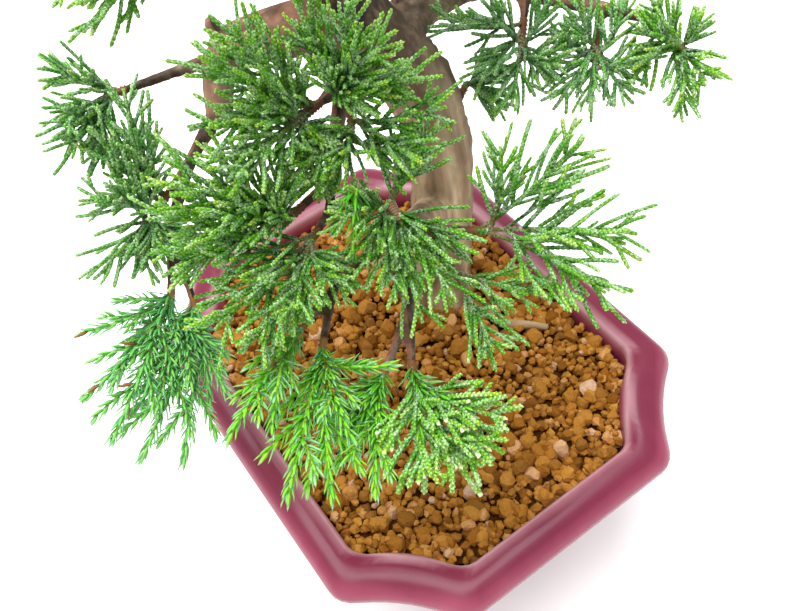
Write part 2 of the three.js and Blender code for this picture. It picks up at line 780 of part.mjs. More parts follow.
// Scale foliage: pairs of cords that spring from short stretches of the stem
function growScaleArm(shoot, seed) {
  const count = Math.max(3, Math.round(shoot.length / FORK_PITCH));
  const half = (0.5 * CORD_ROOT) / shoot.length;
  const rings = [{ along: 0, radius: shoot.sunkRadius, twist: 0 }];
  for (let i = 0; i < count; i += 1) {
    const along = FIRST_FORK + (FORK_SPAN * (i + 0.3 * draw(seed, i, 1))) / (count - 0.7);
    const twist = (draw(seed, i, 6) - 0.5) * 0.7;
    rings.push({ along: along - half, radius: taper(along), twist });
    rings.push({ along: along + half, radius: taper(along), twist });
  }
  rings.push({ along: 1, radius: STEM_TIP_RADIUS, twist: 0 });
  return growShoot(shoot, rings, (skin, face, level, k) => {
    const isStation = level % 2 === 0 && level < rings.length - 1;
    if (!isStation || (k === 2 && draw(seed, level, 7) > LOWER_CORD_SHARE)) return false;
    const along = rings[level].along - half;
    const key = 3 * level + k;
    const share = CORD_SHARE * (1 - CORD_SHORTENING * along) * (0.7 + 0.6 * draw(seed, key, 3));
    const size = CORD_SHORTEST + share * shoot.length;
    const lean = degrees(CORD_LEAN + CORD_LEAN_SPREAD * (draw(seed, key, 4) - 0.5));
    const tilt = (draw(seed, key, 2) - 0.5) * CORD_TILT_SPREAD;
    const [root, tip] = leaningTip(skin, face, shoot, along, lean, tilt, size);
    const end = fitted(root, tip, CORD_RADIUS, CORD_ROOT_FREE, shoot.id);
    if (end) growCord(skin, face, end, CORD_TIP_RADIUS);
    return Boolean(end);
  });
}

// Young foliage: needles on every face of a twisting stem, closing up at its tip
function growNeedleArm(shoot, seed) {
  const count = Math.max(3, Math.round(shoot.length / WHORL_PITCH));
  const rings = Array.from({ length: count + 1 }, (_, i) => ({
    along: i / count,
    radius: i ? taper(i / count) * YOUNG_STEM : shoot.sunkRadius,
    twist: NEEDLE_TWIST * i,
  }));
  return growShoot(shoot, rings, (skin, face, level, k) => {
    const along = rings[level].along - 0.5 / count;
    const spread = NEEDLE_LEAN_SPREAD * (draw(seed, level, k) - 0.5);
    const lean = degrees(NEEDLE_LEAN - NEEDLE_LEAN_CLOSING * along + spread);
    const size = NEEDLE_LENGTH * (1.05 - NEEDLE_SHORTENING * along);
    const [root, tip] = leaningTip(skin, face, shoot, along, lean, 0, size);
    if (along * shoot.length < YOUNG_BARE) return false;
    const end = fitted(root, tip, NEEDLE_RADIUS, NEEDLE_ROOT_FREE, shoot.id);
    if (end) growNeedle(skin, face, end);
    return Boolean(end);
  });
}

// Side shoots of a young arm, which spring from inside its stem
function sideShoots(shoot, seed) {
  const count = Math.round(shoot.length / SIDE_SHOOT_PITCH);
  return Array.from({ length: count }, (_, i) => {
    const along = FIRST_FORK + (SIDE_SHOOT_SPAN * i) / count;
    const { forward, across } = frameAt(shoot, along);
    const lean = degrees(SIDE_SHOOT_LEAN + SIDE_SHOOT_LEAN_SPREAD * (draw(seed, i, 8) - 0.5));
    const length = SIDE_SHOOT_SHARE * shoot.length * (1 - 0.5 * along);
    const start = bend(...shoot.line, along);
    const toward = forward.clone().multiplyScalar(Math.cos(lean))
      .addScaledVector(across, Math.sin(lean) * (i % 2 ? 1 : -1));
    const middle = start.clone().addScaledVector(toward, 0.5 * length);
    const last = start.clone()
      .addScaledVector(toward, 0.85 * length)
      .addScaledVector(forward, 0.18 * length);
    return { line: [start, middle, last], length, left: across, sunkRadius: SIDE_SUNK_RADIUS };
  });
}

function makeBunch({ name, kind, twig, arms }, index) {
  const hub = vector(twig.at(-1));
  const launch = hub.clone().sub(vector(twig.at(-2))).normalize();
  const fork = hub.clone().addScaledVector(launch, NODE_PITCH * arms.length);
  const stub = tube([hub, fork], [STUB_RADIUS, STEM_RADIUS * 1.1], 4);
  const shoots = arms.map((arm, i) => {
    const node = hub.clone().addScaledVector(launch, NODE_PITCH * (i + 0.6));
    return armLine(node, launch, arm);
  });
  if (kind === 'needle') {
    shoots.push(...shoots.flatMap((shoot, i) => sideShoots(shoot, 100 * index + i)));
  }
  shoots.forEach((shoot, i) => {
    shoot.id = `${name} ${i}`;
    const [start, near, far, last] = [0, 0.3, 0.65, 1].map((t) => bend(...shoot.line, t));
    [[start, near], [near, far], [far, last]]
      .forEach(([a, b]) => occupy(a, b, STEM_RADIUS, shoot.id));
  });
  const grow = kind === 'needle' ? growNeedleArm : growScaleArm;
  const skins = shoots.map((shoot, i) => grow(shoot, 100 * index + i));
  const bodies = skins.map(({ positions, triangles }) => solidOf(positions, triangles));
  const solid = fuse([stub, ...bodies]);
  return meshOf(solid, `foliage_${name}`, kind === 'needle' ? needleGreen : scaleGreen);
}

function makeWood() {
  const flare = (angle, z) => {
    const share = THREE.MathUtils.clamp((FLARE_TOP - z) / (FLARE_TOP - FLARE_FOOT), 0, 1);
    return 1 + FLARE_DEPTH * share * Math.cos(FLARE_LOBES * angle + FLARE_TURN);
  };
  const trunkPoints = TRUNK.map(vector);
  const pieces = [tube(
    trunkPoints,
    TRUNK.map(([, , , r]) => r),
    TRUNK_SIDES,
    (angle, level) => flare(angle, trunkPoints[level].z),
  )];
  trunkPoints.slice(1).forEach((point, i) => occupy(trunkPoints[i], point, TRUNK[i][3], 'wood'));
  for (const { sides, path } of LIMBS) {
    const points = path.map(vector);
    const radii = path.map(([, , , r]) => r);
    pieces.push(tube(points, radii, sides));
    points.slice(1).forEach((point, i) => occupy(points[i], point, radii[i], 'wood'));
  }
  for (const { name, twig } of BUNCHES) {
    const points = twig.map(vector);
    const last = points.at(-1);
    const launch = last.clone().sub(points.at(-2)).normalize();
    last.addScaledVector(launch, -SEAT_GAP);
    if (name !== 'apex') pieces.push(tube(points, twig.map(([, , , r]) => r), 4));
    points.slice(1).forEach((point, i) => occupy(points[i], point, twig[i + 1][3], 'wood'));
  }
  const plug = [TRUNK[0], TRUNK[1]].map(vector);
  plug[0].z -= SEAT_GAP;
  plug[1].z += 10;
  const holeRadius = TRUNK[0][3] + HOLE_CLEARANCE;
  const hole = tube(plug, [holeRadius, holeRadius], TRUNK_SIDES, (angle) => flare(angle, 0));
  return { mesh: meshOf(fuse(pieces), 'trunk_and_branches', bark), hole };
}

// A stick that lies half sunk in the soil, or its bed when it is made wider
const stickTube = (wider) => tube(
  STICK_ENDS.map(vector),
  [STICK_RADIUS + wider, STICK_THIN_END + wider],
  6,
);

const wood = makeWood();

function makeSoil() {
  const levels = INNER_FACE.slice(0, 3).map(([offset, z]) => [offset + SEAT_GAP + 0.1, z]);
  levels[0][1] += SEAT_GAP;
  levels.push([LIP_WIDTH + 0.9, 58]);
  let soil = granularBlock().intersect(loft(levels))
    .subtract(wood.hole)
    .subtract(stickTube(SEAT_GAP));
  for (const x of drainPlaces) {
    const pocket = MESH_SIZE + 2 * SEAT_GAP;
    soil = soil.subtract(box(
      pocket,
      pocket,
      0,
      FLOOR_TOP + 2 * SEAT_GAP + MESH_THICKNESS,
      x,
      0,
    ));
  }
  return meshOf(fuse([soil]), 'soil', akadama);
}

const bonsai = new THREE.Group();
bonsai.add(makePot());
bonsai.add(makeSoil());
bonsai.add(makeDrainMesh(drainPlaces[0], 'drain_mesh_left'));
bonsai.add(makeDrainMesh(drainPlaces[1], 'drain_mesh_right'));
bonsai.add(wood.mesh);
bonsai.add(meshOf(stickTube(0), 'soil_stick', tanWood));
BUNCHES.forEach((bunch, index) => bonsai.add(makeBunch(bunch, index)));

export default bonsai;
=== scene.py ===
"""Looks of a juniper bonsai in a glazed pot with cut corners, around its CAD frame.

Lengths are written in millimetres and become metres where a mesh is made.
"""

import math
from functools import cache, partial

import bmesh
import bpy
import numpy as np
from mathutils import Matrix


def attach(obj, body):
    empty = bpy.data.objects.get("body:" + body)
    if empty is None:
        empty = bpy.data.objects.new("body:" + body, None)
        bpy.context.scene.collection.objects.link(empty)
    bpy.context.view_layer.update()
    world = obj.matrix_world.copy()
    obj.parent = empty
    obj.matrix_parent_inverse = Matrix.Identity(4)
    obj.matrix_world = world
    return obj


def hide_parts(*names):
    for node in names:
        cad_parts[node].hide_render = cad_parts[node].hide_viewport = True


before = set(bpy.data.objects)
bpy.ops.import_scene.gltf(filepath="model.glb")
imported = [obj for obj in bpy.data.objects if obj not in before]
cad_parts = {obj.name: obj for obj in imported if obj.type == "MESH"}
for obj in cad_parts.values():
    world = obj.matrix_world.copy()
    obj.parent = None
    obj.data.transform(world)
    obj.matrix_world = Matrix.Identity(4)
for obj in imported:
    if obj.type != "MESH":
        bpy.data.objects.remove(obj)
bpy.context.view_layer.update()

MM = 0.001
UP = np.array((0.0, 0.0, 1.0))

# The pot, as in the model
POT_LENGTH = 160
POT_WIDTH = 126
POT_HEIGHT = 60
CORNER_CUT = 25.6
CORNER_CUT_PER_OFFSET = 0.385
CORNER_DIP = 2.8
CORNER_ROUNDING = 4.2
LIP_BASE = 50
LIP_WIDTH = 11.2
LIP_INNER_EDGE = 10.2
LIP_LOWER_EDGE = 51.4
FLOOR_TOP = 13
FOOT_HEIGHT = 7
FOOT_GAP_ALONG_LENGTH = 52
FOOT_GAP_ALONG_WIDTH = 26
FOOT_GAP_SLOPE = 3
DRAIN_RADIUS = 6
DRAIN_SPACING = 68

# The soil
SOIL_LEVEL = 52.3
SOIL_MOUND = 3.4
SOIL_MOUND_REACH = 26
SOIL_EDGE = 11.7
TRUNK_FOOT = (-17, 25)
BED_SPACING = 2.9
BED_RADIUS = (1.3, 2.0)
LARGE_GRAINS = 420
LARGE_RADIUS = (1.7, 2.8)
SMALL_GRAINS = 900
WALL_GRAINS = 2600
SMALL_RADIUS = (0.7, 1.3)

# The foliage, as in the model, with the finer parts that only show here
STEM_RADII = (0.95, 0.6)
NODE_PITCH = 1.5
FORK_PITCH = 9
FIRST_FORK = 0.22
FORK_SPAN = 0.7
CORD_SHORTEST = 3.2
CORD_SHARE = 0.52
CORD_SHORTENING = 0.78
CORD_LEAN = 36
CORD_LEAN_SPREAD = 18
CORD_TILT_SPREAD = 0.9
CORD_RADIUS = 0.54
CORD_TAPER = 0.95
CORD_SWAY = 2.6
SCALE_PITCH = 1.25
# Where a scale's tip and its waist lie: a share of the cord's radius, and one of half a pitch
SCALE_TIP = (1.2, 0.34)
SCALE_WAIST = (0.86, -0.12)
LOWER_CORD_SHARE = 0.6
PLAIN_CORDS = 0.42
PLAIN_CORD_GAIN = 1.22
YOUNG_CORD_GAIN = 1.3
FORKLET_PITCH = 6.4
FORKLET_SHARE = 0.46
FORKLET_SHORTEST = 2.1
FORKLET_LEAN = 23
FORKLET_LEAN_SPREAD = 17
# The shorter arm beside a main one: degrees aside, spread of its rise, and share of the length
COMPANION_TURN = (13, 26)
COMPANION_RISE_SPREAD = 30
COMPANION_SHARE = (0.58, 0.8)
COMPANION_SEED = 50
NEEDLE_LENGTH = 5.6
NEEDLE_WIDTH = 1.1
NEEDLE_LEAN = 46
NEEDLE_LEAN_CLOSING = 26
WHORL_PITCH = 1.75
SIDE_SHOOT_PITCH = 8
SIDE_SHOOT_SPAN = 0.66
SIDE_SHOOT_SHARE = 0.42
SIDE_SHOOT_LEAN = 34
SIDE_SHOOT_LEAN_SPREAD = 12
YOUNG_BASE_SHARE = 0.62

# How fresh a shoot is, from old dark green at 0 to yellow-green at 1
ARM_FRESHNESS = 0.25
# Painted shade, partly older growth: a side cord starts this much darker at its root, deep inside the
# spray
CORD_ROOT_SHADE = 0.22
CORD_SHADE_SPREAD = 0.34
PLAIN_TIP = 0.12
FRESH_TIP = 0.5
FRESH_TIP_CHANCE = 0.22
PALE_END_CHANCE = 0.28
NEEDLE_FRESHENING = 0.36
SHOOT_FRESHNESS = 0.3
SIDE_SHOOT_FRESHNESS = 0.45
YOUNG_BASE_FRESHNESS = 0.35

# Wood: each row is x, y, z and radius of one point along a trunk, limb or branch
TRUNK = [
    [-17, 25, 33.3, 12.6], [-17, 25, 56, 12.6],
    [-17.2, 26, 61, 11.4], [-17.5, 27.4, 69, 10.4], [-18, 29.5, 82, 9.9],
    [-18.5, 31.6, 97, 9.5], [-19.5, 33, 111, 9.3], [-22, 32, 125, 9.5],
    [-26, 28.5, 138, 10], [-31, 22.8, 150, 9], [-35, 17, 162, 7.4],
    [-38, 11, 175, 6], [-36, 5, 189, 4.9], [-29, 1, 203, 3.9],
    [-21, -1, 216, 3], [-15, 0, 228, 2.2], [-12, 3, 239, 1.2],
]
LIMBS = [
    [[-29, 25, 145, 8.4], [-41, 15, 151, 7.8], [-51, 4, 149, 7.2],
     [-58, -7, 146, 6], [-56, -14, 141, 4.6], [-48, -20, 135, 3.6]],
    [[-58, -7, 146, 3], [-61, -9, 151, 2.6], [-62, -10, 155, 1.3]],
    [[-28, 27, 142, 7.4], [-38, 38, 142, 6], [-42, 49, 141, 5], [-40, 60, 142, 4.2],
     [-33, 68, 142, 3.4], [-22, 75, 141, 2.6], [-7, 82, 141, 2], [3, 87, 141, 1.5]],
    [[-18, 30, 90, 6.4], [-8, 18, 101, 4.8], [1, 8, 112, 4],
     [7, 0, 119, 3.3], [14, -4, 119, 2.6], [22, -9, 115, 1.9]],
    [[-26, 29, 138, 5.4], [-38, 31, 143, 3.6], [-48, 31, 148, 2.2]],
]
# How finely the wood is made, how high its foot swells, and where its bark turns dark and flaky
TRUNK_SIDES = 28
LIMB_SIDES = 20
TWIG_SIDES = 10
FUSE_VOXEL = 0.75
FLARE_TOP = 70
FLARE_REACH = 14
DARK_BARK_FROM = 100
DARK_BARK_FULL = 160
# The way that the live, reddish side of the wood faces away from
VEIN_AWAY = np.array((0.577, 0.81, -0.107))
# The dry stick on the soil, in rows like the wood's
STICK = [[8.5, 29.5, 55, 1.6], [12.5, 33.3, 55.1, 1.5], [16.5, 37.8, 54.5, 1.35], [20.5, 41.5, 54.3, 1.05]]

# Foliage: a bunch's name, its twig as rows like the wood's, and its arms, each a bearing
# from +X towards +Y, a rise above level and a length
BUNCHES = [
    ("upper_left", [[-29, 21, 148, 4.4], [-20, 6, 150, 3], [-15, -4, 152, 1.1]],
     [[-93, 47, 35], [-100, 64, 32], [-80, 27, 31], [-62, 12, 30]]),
    ("upper_front", [[-22, 9, 150, 1.8], [-15, 5, 154, 1.3], [-12, 2, 156, 1.1]],
     [[-125, 74, 26], [79, 76, 22], [46, 10, 21], [52, 46, 20]]),
    ("upper_low", [[-20, 6, 150, 2], [-15, 5, 149, 1.4], [-11, 2, 148, 1.1]],
     [[5, 6, 27], [34, 20, 27], [-38, 7, 17], [-72, 10, 19]]),
    ("left_front", [[-20, 6, 150, 2.4], [-13, -3, 141, 1.9], [-9, -8, 134, 1.6], [-4, -20, 135, 1.1]],
     [[-97, 26, 37], [-110, 42, 34], [-84, 14, 33], [-118, 66, 27]]),
    ("left_low", [[-9, -8, 134, 1.5], [-2, -14, 131, 1.3], [2, -20, 131, 1.1]],
     [[-72, 3, 36], [-56, -3, 32], [-38, 10, 24]]),
    ("centre", [[7, 0, 119, 2.4], [6, -1, 126, 1.6], [8, -2, 130, 1.1]],
     [[-22, -16, 31], [-4, -13, 30], [-78, 32, 18], [95, 42, 22]]),
    ("right_long", [[7, 0, 119, 2.4], [18, 4, 127, 1.5], [26, 9, 130, 1.1]],
     [[33, 17, 39], [66, 42, 32], [15, 1, 34], [122, 62, 21]]),
    ("right_low", [[17, 3, 126, 1.4], [23, 2, 123, 1.2], [27, 2, 122, 1.1]],
     [[30, 3, 22], [-16, -7, 23]]),
    ("low_front", [[21, -8, 116, 1.9], [30, -14, 111, 1.4], [36, -18, 109, 1.1]],
     [[-31, -7, 29], [-12, -6, 28], [20, 8, 27], [6, 3, 27]]),
    ("low_side", [[25, -11, 113, 1.5], [30, -19, 110, 1.2], [33, -24, 109, 1.1]],
     [[-40, -8, 30], [-82, -6, 19], [-62, -9, 22]]),
    ("young_left", [[7, 0, 119, 2.2], [9, -17, 119, 1.5], [15, -35, 118, 1.1]],
     [[-60, 4, 33], [-45, -1, 26]]),
    ("young_front", [[11, -24, 118, 1.4], [17, -30, 116, 1.1], [20, -33, 115, 1]],
     [[-31, -9, 38], [-18, 2, 26], [-45, -4, 36], [36, 14, 19]]),
    ("far_left_top", [[-58, -9, 145, 2.6], [-63, -24, 144, 1.6], [-63, -38, 146, 1.2]],
     [[-110, 40, 20], [-63, -7, 22], [-40, -24, 21], [-50, 18, 20]]),
    ("far_left_middle", [[-50, -19, 136, 2.8], [-45, -32, 130, 1.6], [-41, -43, 126, 1.1]],
     [[165, 56, 30], [-148, 62, 26], [-95, 42, 20], [-66, -1, 22]]),
    ("far_left_low", [[-45, -33, 129, 1.8], [-36, -46, 120, 1.5], [-25, -55, 111, 1]],
     [[-53, -14, 42], [-88, 12, 24], [-70, -5, 33]]),
    ("far_left_hanging", [[-36, -46, 120, 1.5], [-27, -50, 111, 1.2], [-20, -52, 107, 1]],
     [[-54, -20, 42], [-40, -24, 40], [-28, -28, 23]]),
    ("right_first", [[-28, 71, 142, 2.2], [-24, 69, 139, 1.5], [-22, 67, 137, 1.1]],
     [[-108, 17, 26], [-76, -10, 20], [-49, -25, 22], [-12, -18, 16]]),
    ("right_second", [[-8, 82, 141, 1.7], [-5, 80, 139, 1.3], [-3, 78, 137, 1.1]],
     [[-77, -30, 20], [-51, -29, 18], [-13, -19, 16]]),
    ("right_end", [[1, 86, 141, 1.5], [7, 88, 141, 1.3], [11, 88, 140, 1.1]],
     [[-83, -21, 14], [-32, -23, 20], [-13, -9, 16]]),
    ("behind_trunk", [[-21, 35, 115, 2], [-25, 44, 118, 1.4], [-26, 47, 120, 1.1]],
     [[64, 24, 14], [14, -14, 14]]),
    ("back_left", [[-45, 31, 146, 2.2], [-50, 30, 149, 1.6], [-54, 29, 151, 1.1]],
     [[168, 24, 18], [-146, 8, 21], [122, 8, 24]]),
    ("back_right", [[-38, 31, 143, 2.6], [-45, 42, 148, 1.7], [-48, 48, 150, 1.1]],
     [[104, 6, 25], [70, 2, 22], [140, -2, 24]]),
    ("crown_left", [[-36, 6, 186, 2.8], [-40, -7, 187, 2], [-42, -17, 188, 1.2]],
     [[-92, 0, 28], [-122, 6, 25], [-64, -6, 26], [-92, 40, 19]]),
    ("crown_back_low", [[-38, 11, 174, 2.8], [-47, 9, 179, 2], [-52, 8, 181, 1.2]],
     [[-170, 10, 20], [-140, 2, 24], [142, -2, 24]]),
    ("crown_right", [[-29, 1, 203, 2.4], [-27, 13, 203, 1.8], [-26, 21, 203, 1.2]],
     [[92, 2, 26], [58, 4, 26], [124, 2, 24]]),
    ("crown_front", [[-21, -1, 216, 2.2], [-11, -7, 218, 1.6], [-5, -10, 219, 1.1]],
     [[-30, 4, 26], [-66, 6, 24], [8, 4, 24], [-28, 42, 17]]),
    ("crown_back", [[-37, 8, 181, 2.6], [-43, 22, 183, 1.8], [-46, 30, 184, 1.2]],
     [[102, 0, 26], [138, 6, 24], [68, -4, 24]]),
    ("crown_left_high", [[-24, 0, 211, 2.2], [-28, -11, 213, 1.6], [-30, -18, 214, 1.1]],
     [[-88, 2, 26], [-126, 6, 24], [-52, 0, 24]]),
    ("crown_back_high", [[-27, 0, 207, 2.2], [-38, 5, 212, 1.6], [-44, 7, 214, 1.1]],
     [[176, 4, 24], [-148, 8, 22], [140, 2, 24]]),
    ("crown_right_high", [[-16, 0, 227, 1.8], [-9, 8, 229, 1.4], [-6, 14, 230, 1.1]],
     [[54, 2, 23], [100, 4, 23], [12, 6, 22]]),
    ("crown_right_low", [[-36, 15, 166, 3], [-28, 28, 172, 2], [-25, 36, 174, 1.2]],
     [[70, -2, 26], [112, 2, 24], [32, 2, 25]]),
    ("apex", [[-15, 0, 228, 1.6], [-12, 3, 239, 1.2]],
     [[10, 48, 18], [130, 58, 18], [-110, 52, 18], [-50, 14, 20], [190, 18, 20]]),
]
# Lesser arms that only show here, which fill the gaps between a bunch's main arms
LESSER_ARMS = {
    "upper_left": [[-45, -31, 13], [-111, 52, 12], [40, -20, 10], [140, 37, 11]],
    "upper_front": [[26, 4, 10], [-169, 72, 8]],
    "upper_low": [[-70, -15, 16], [33, 1, 14]],
    "left_front": [[-60, 75, 11], [112, 56, 18]],
    "left_low": [[0, -6, 16]],
    "centre": [[-64, -13, 14], [-5, -35, 21]],
    "far_left_middle": [[-35, -20, 13], [33, -13, 15], [129, 49, 23]],
    "far_left_low": [[-79, -14, 14], [17, -11, 16]],
    "right_first": [[-135, 53, 17], [80, 54, 17], [11, 11, 14], [48, 24, 17]],
    "right_second": [[-163, 61, 16], [89, 53, 16], [176, 4, 17], [48, 22, 16]],
    "right_end": [[-156, 51, 13], [59, 64, 9], [-128, 33, 16], [-172, 8, 15]],
}
# Young shoots among scale foliage: a start, a bearing, a rise and a length
YOUNG_SHOOTS = {
    "upper_low": [([10, -11, 146], -50, -52, 14), ([9, -12, 146], -25, -60, 10),
                  ([9, -11, 146], -82, -44, 11)],
}
NEEDLE_BUNCHES = {"low_side", "young_left", "young_front", "far_left_low", "far_left_hanging"}
# The bunch whose arms turn from needles to scales, and how much fresher it is
MIXED_BUNCH = "low_front"
MIXED_FRESHNESS = 0.12
# Bunches of a bluer green, and those whose arms have no companions
FAR_BUNCHES = {"far_left_top", "far_left_middle", "far_left_low", "far_left_hanging", "right_first",
               "right_second", "behind_trunk", "back_left", "back_right"}
OPEN_BUNCHES = {"upper_low", "right_long", "right_low", "right_first", "right_second", "right_end",
                "low_front", "young_front", "young_left", "far_left_low"}
# The arm, as a bunch and a number, whose start is bare, brown and ringed with leaf scars
SCARRED_ARM = ("centre", 5)
SCARS = 8
SCARRED_SHARE = 0.34


def draw(*keys):
    """A repeatable number from 0 to 1 for each set of whole-number keys."""
    mask = 0xFFFFFFFF
    value = 0x9E3779B9
    for key in keys:
        value = ((value ^ (key + 0x7F4A7C15)) * 0x85EBCA6B) & mask
        value ^= value >> 13
        value = (value * 0xC2B2AE35) & mask
        value ^= value >> 16
    return value / 4294967296


def unit(vector):
    return vector / np.linalg.norm(vector)


def between(ends, share):
    return ends[0] + (ends[1] - ends[0]) * share


def bend(line, t):
    """Points and directions of a quadratic bend at each share t of it."""
    first, middle, last = line
    t = np.atleast_1d(t)[:, None]
    points = (1 - t) ** 2 * first + 2 * t * (1 - t) * middle + t ** 2 * last
    along = (1 - t) * (middle - first) + t * (last - middle)
    return points, along / np.linalg.norm(along, axis=1, keepdims=True)


def frames_along(line, left, share):
    """Points, directions and two cross directions at each share of a bent line."""
    points, forward = bend(line, share)
    across = left - forward * (forward @ left)[:, None]
    across /= np.linalg.norm(across, axis=1, keepdims=True)
    return points, forward, across, np.cross(forward, across)


def frame_at(line, left, along):
    return (rows[0] for rows in frames_along(line, left, along))


def directions_round(across, over, sides):
    """Directions to the corners of a ring at each of a line's frames."""
    angles = 2 * math.pi * np.arange(sides) / sides
    return (np.cos(angles)[None, :, None] * across[:, None, :]
            + np.sin(angles)[None, :, None] * over[:, None, :])


def link_object(name, data):
    """A new object in the scene for a mesh, a light or a camera."""
    made = bpy.data.objects.new(name, data)
    bpy.context.scene.collection.objects.link(made)
    return made


def mark_growth(mesh, tones):
    """Three values at each point, which the materials read as a colour."""
    rgba = np.concatenate([tones, np.ones((len(tones), 1))], axis=1).astype(np.float32)
    mesh.attributes.new("growth", "FLOAT_COLOR", "POINT").data.foreach_set("color", rgba.ravel())


def vertex_values(mesh, kind):
    """A mesh's coordinates or normals, one row a point."""
    values = np.empty(len(mesh.vertices) * 3, np.float32)
    mesh.vertices.foreach_get(kind, values)
    return values.reshape(-1, 3)


def bake_modifiers(piece):
    """Give an object the mesh that its modifiers make of its own."""
    bpy.context.view_layer.update()
    evaluated = piece.evaluated_get(bpy.context.evaluated_depsgraph_get())
    data = bpy.data.meshes.new_from_object(evaluated)
    piece.modifiers.clear()
    piece.data = data


class Skin:
    """Points, triangles and colour values of one piece, before it becomes a mesh."""

    def __init__(self):
        self.points, self.triangles, self.tones, self.slots, self.count = [], [], [], [], 0

    def add(self, points, triangles, tones, slot=0):
        self.points.append(points)
        self.triangles.append(triangles + self.count)
        self.tones.append(tones)
        self.slots.append(np.full(len(triangles), slot, np.int32))
        self.count += len(points)

    def absorb(self, other):
        """Take over another skin, whose parts get the second material."""
        if other.count:
            parts = (other.points, other.triangles, other.tones)
            self.add(*(np.concatenate(part) for part in parts), 1)

    def to_object(self, name, *materials):
        piece = make_object(name, np.concatenate(self.points), np.concatenate(self.triangles),
                            materials[0], np.concatenate(self.tones))
        for material in materials[1:]:
            piece.data.materials.append(material)
        piece.data.polygons.foreach_set("material_index", np.concatenate(self.slots))
        return piece


def make_object(name, points, triangles, material, tones=None):
    """A mesh object from points in millimetres, with its colour values in an attribute."""
    mesh = bpy.data.meshes.new(name)
    mesh.vertices.add(len(points))
    mesh.vertices.foreach_set("co", (np.asarray(points) * MM).astype(np.float32).ravel())
    triangles = np.asarray(triangles, np.int32)
    mesh.loops.add(triangles.size)
    mesh.loops.foreach_set("vertex_index", triangles.ravel())
    mesh.polygons.add(len(triangles))
    mesh.polygons.foreach_set("loop_start", np.arange(0, triangles.size, 3, dtype=np.int32))
    mesh.update(calc_edges=True)
    mesh.validate()
    if tones is not None:
        mark_growth(mesh, tones)
    mesh.shade_smooth()
    mesh.materials.append(material)
    return link_object(name, mesh)


def ring_triangles(rings, sides, knobs=False):
    """Triangles of a tube of rings, with a fan at its root and one to a last single point.

    Knobs turn the diagonals so that every second corner stands alone, like the tip of a scale.
    """
    level, side = np.meshgrid(np.arange(rings - 1), np.arange(sides), indexing="ij")
    a = level * sides + side
    b = level * sides + (side + 1) % sides
    c, d = b + sides, a + sides
    one_way = np.stack([a, b, c, a, c, d], axis=-1)
    other_way = np.stack([a, b, d, b, c, d], axis=-1)
    turned = ((level + side) % 2 == 0)[..., None] & knobs
    walls = np.where(turned, other_way, one_way).reshape(-1, 3)
    k = np.arange(1, sides - 1)
    root = np.stack([np.zeros_like(k), k + 1, k], axis=1)
    k = np.arange(sides)
    last = (rings - 1) * sides
    tip = np.stack([last + k, last + (k + 1) % sides, np.full(sides, rings * sides)], axis=1)
    return np.concatenate([walls, root, tip])


@cache
def tube_faces(rings, sides):
    return ring_triangles(rings, sides, knobs=sides % 2 == 0)


def add_cord(skin, line, left, radii, fresh, woody=0.0, sides=4, pale_tip=0.0):
    """A cord of overlapping scales in crossed pairs, whose tips stand out a little."""
    length = np.linalg.norm(line[2] - line[0])
    rings = max(3, round(2 * length / SCALE_PITCH)) + 1
    share = np.linspace(0, 1, rings)
    centres, forward, across, over = frames_along(line, left, share)
    outward = directions_round(across, over, sides)
    raised = ((np.arange(rings)[:, None] + np.arange(sides)[None, :]) % 2) == 0
    radius = between(radii, share)
    radius[-1] *= 0.72
    swell = radius[:, None] * np.where(raised, SCALE_TIP[0], SCALE_WAIST[0])
    half_pitch = length / (rings - 1)
    shift = half_pitch * np.where(raised, SCALE_TIP[1], SCALE_WAIST[1])
    points = centres[:, None, :] + swell[..., None] * outward + shift[..., None] * forward[:, None, :]
    tip = centres[-1] + forward[-1] * radius[-1] * 0.9
    points = np.concatenate([points.reshape(-1, 3), tip[None]])
    # Tone from root to tip; a side cord's darker root is partly painted shade.
    age_and_shade = between(fresh, share ** 1.6)
    tones = np.zeros((rings, sides, 3))
    tones[..., 0] = age_and_shade[:, None]
    # The second value marks the raised scale tips, which the leaf material whitens as painted glints, and
    # the waists between them, which it darkens as painted shade.
    tones[..., 1] = raised
    tones[..., 2] = woody * np.clip(1 - 1.6 * share, 0, 1)[:, None]
    tones = np.concatenate([tones.reshape(-1, 3), [[fresh[1], 0.3, 0]]])
    if pale_tip:
        tones[-1 - sides:, 1] = pale_tip
    skin.add(points, tube_faces(rings, sides), tones)


def add_needles(skin, roots, toward, inner, lengths, tones):
    """Narrow blades with a pale hollow band on the side that faces the stem's tip."""
    side = np.cross(toward, inner)
    side /= np.linalg.norm(side, axis=1, keepdims=True)
    face = np.cross(side, toward)
    stations = ((0, 0.5, 0.22), (0.34, 1.0, 0.3), (0.74, 0.66, 0.22))
    width, reach = NEEDLE_WIDTH / 2, lengths[:, None]
    points = []
    for share, wide, thick in stations:
        centre = roots + toward * reach * share + face * reach * 0.1 * share ** 2
        points += [centre - side * width * wide, centre - face * thick,
                   centre + side * width * wide, centre - face * 0.02]
    points.append(roots + toward * reach + face * reach * 0.1)
    count, rows = len(roots), len(points)
    faces = ring_triangles(3, 4)
    triangles = (np.arange(count) * rows)[:, None, None] + faces[None]
    values = np.zeros((count, rows, 3))
    values[..., 0] = tones[:, 0, None]
    values[..., 2] = tones[:, 2, None]
    for ring in range(3):
        values[:, 4 * ring + 3, 1] = tones[:, 1]
    values[:, -1, 1] = 0.5
    skin.add(np.stack(points, axis=1).reshape(-1, 3), triangles.reshape(-1, 3), values.reshape(-1, 3))


def heading(bearing, rise):
    turn, lift = math.radians(bearing), math.radians(rise)
    return np.array((math.cos(turn) * math.cos(lift), math.sin(turn) * math.cos(lift), math.sin(lift)))


def arm_line(start, launch, bearing, rise, length):
    """The bent line of an arm, which leaves the twig along the twig's own direction."""
    toward = heading(bearing, rise)
    middle = start + 0.14 * length * launch + 0.34 * length * toward + 0.04 * length * UP
    return (start, middle, start + length * toward), unit(np.cross(UP, toward))


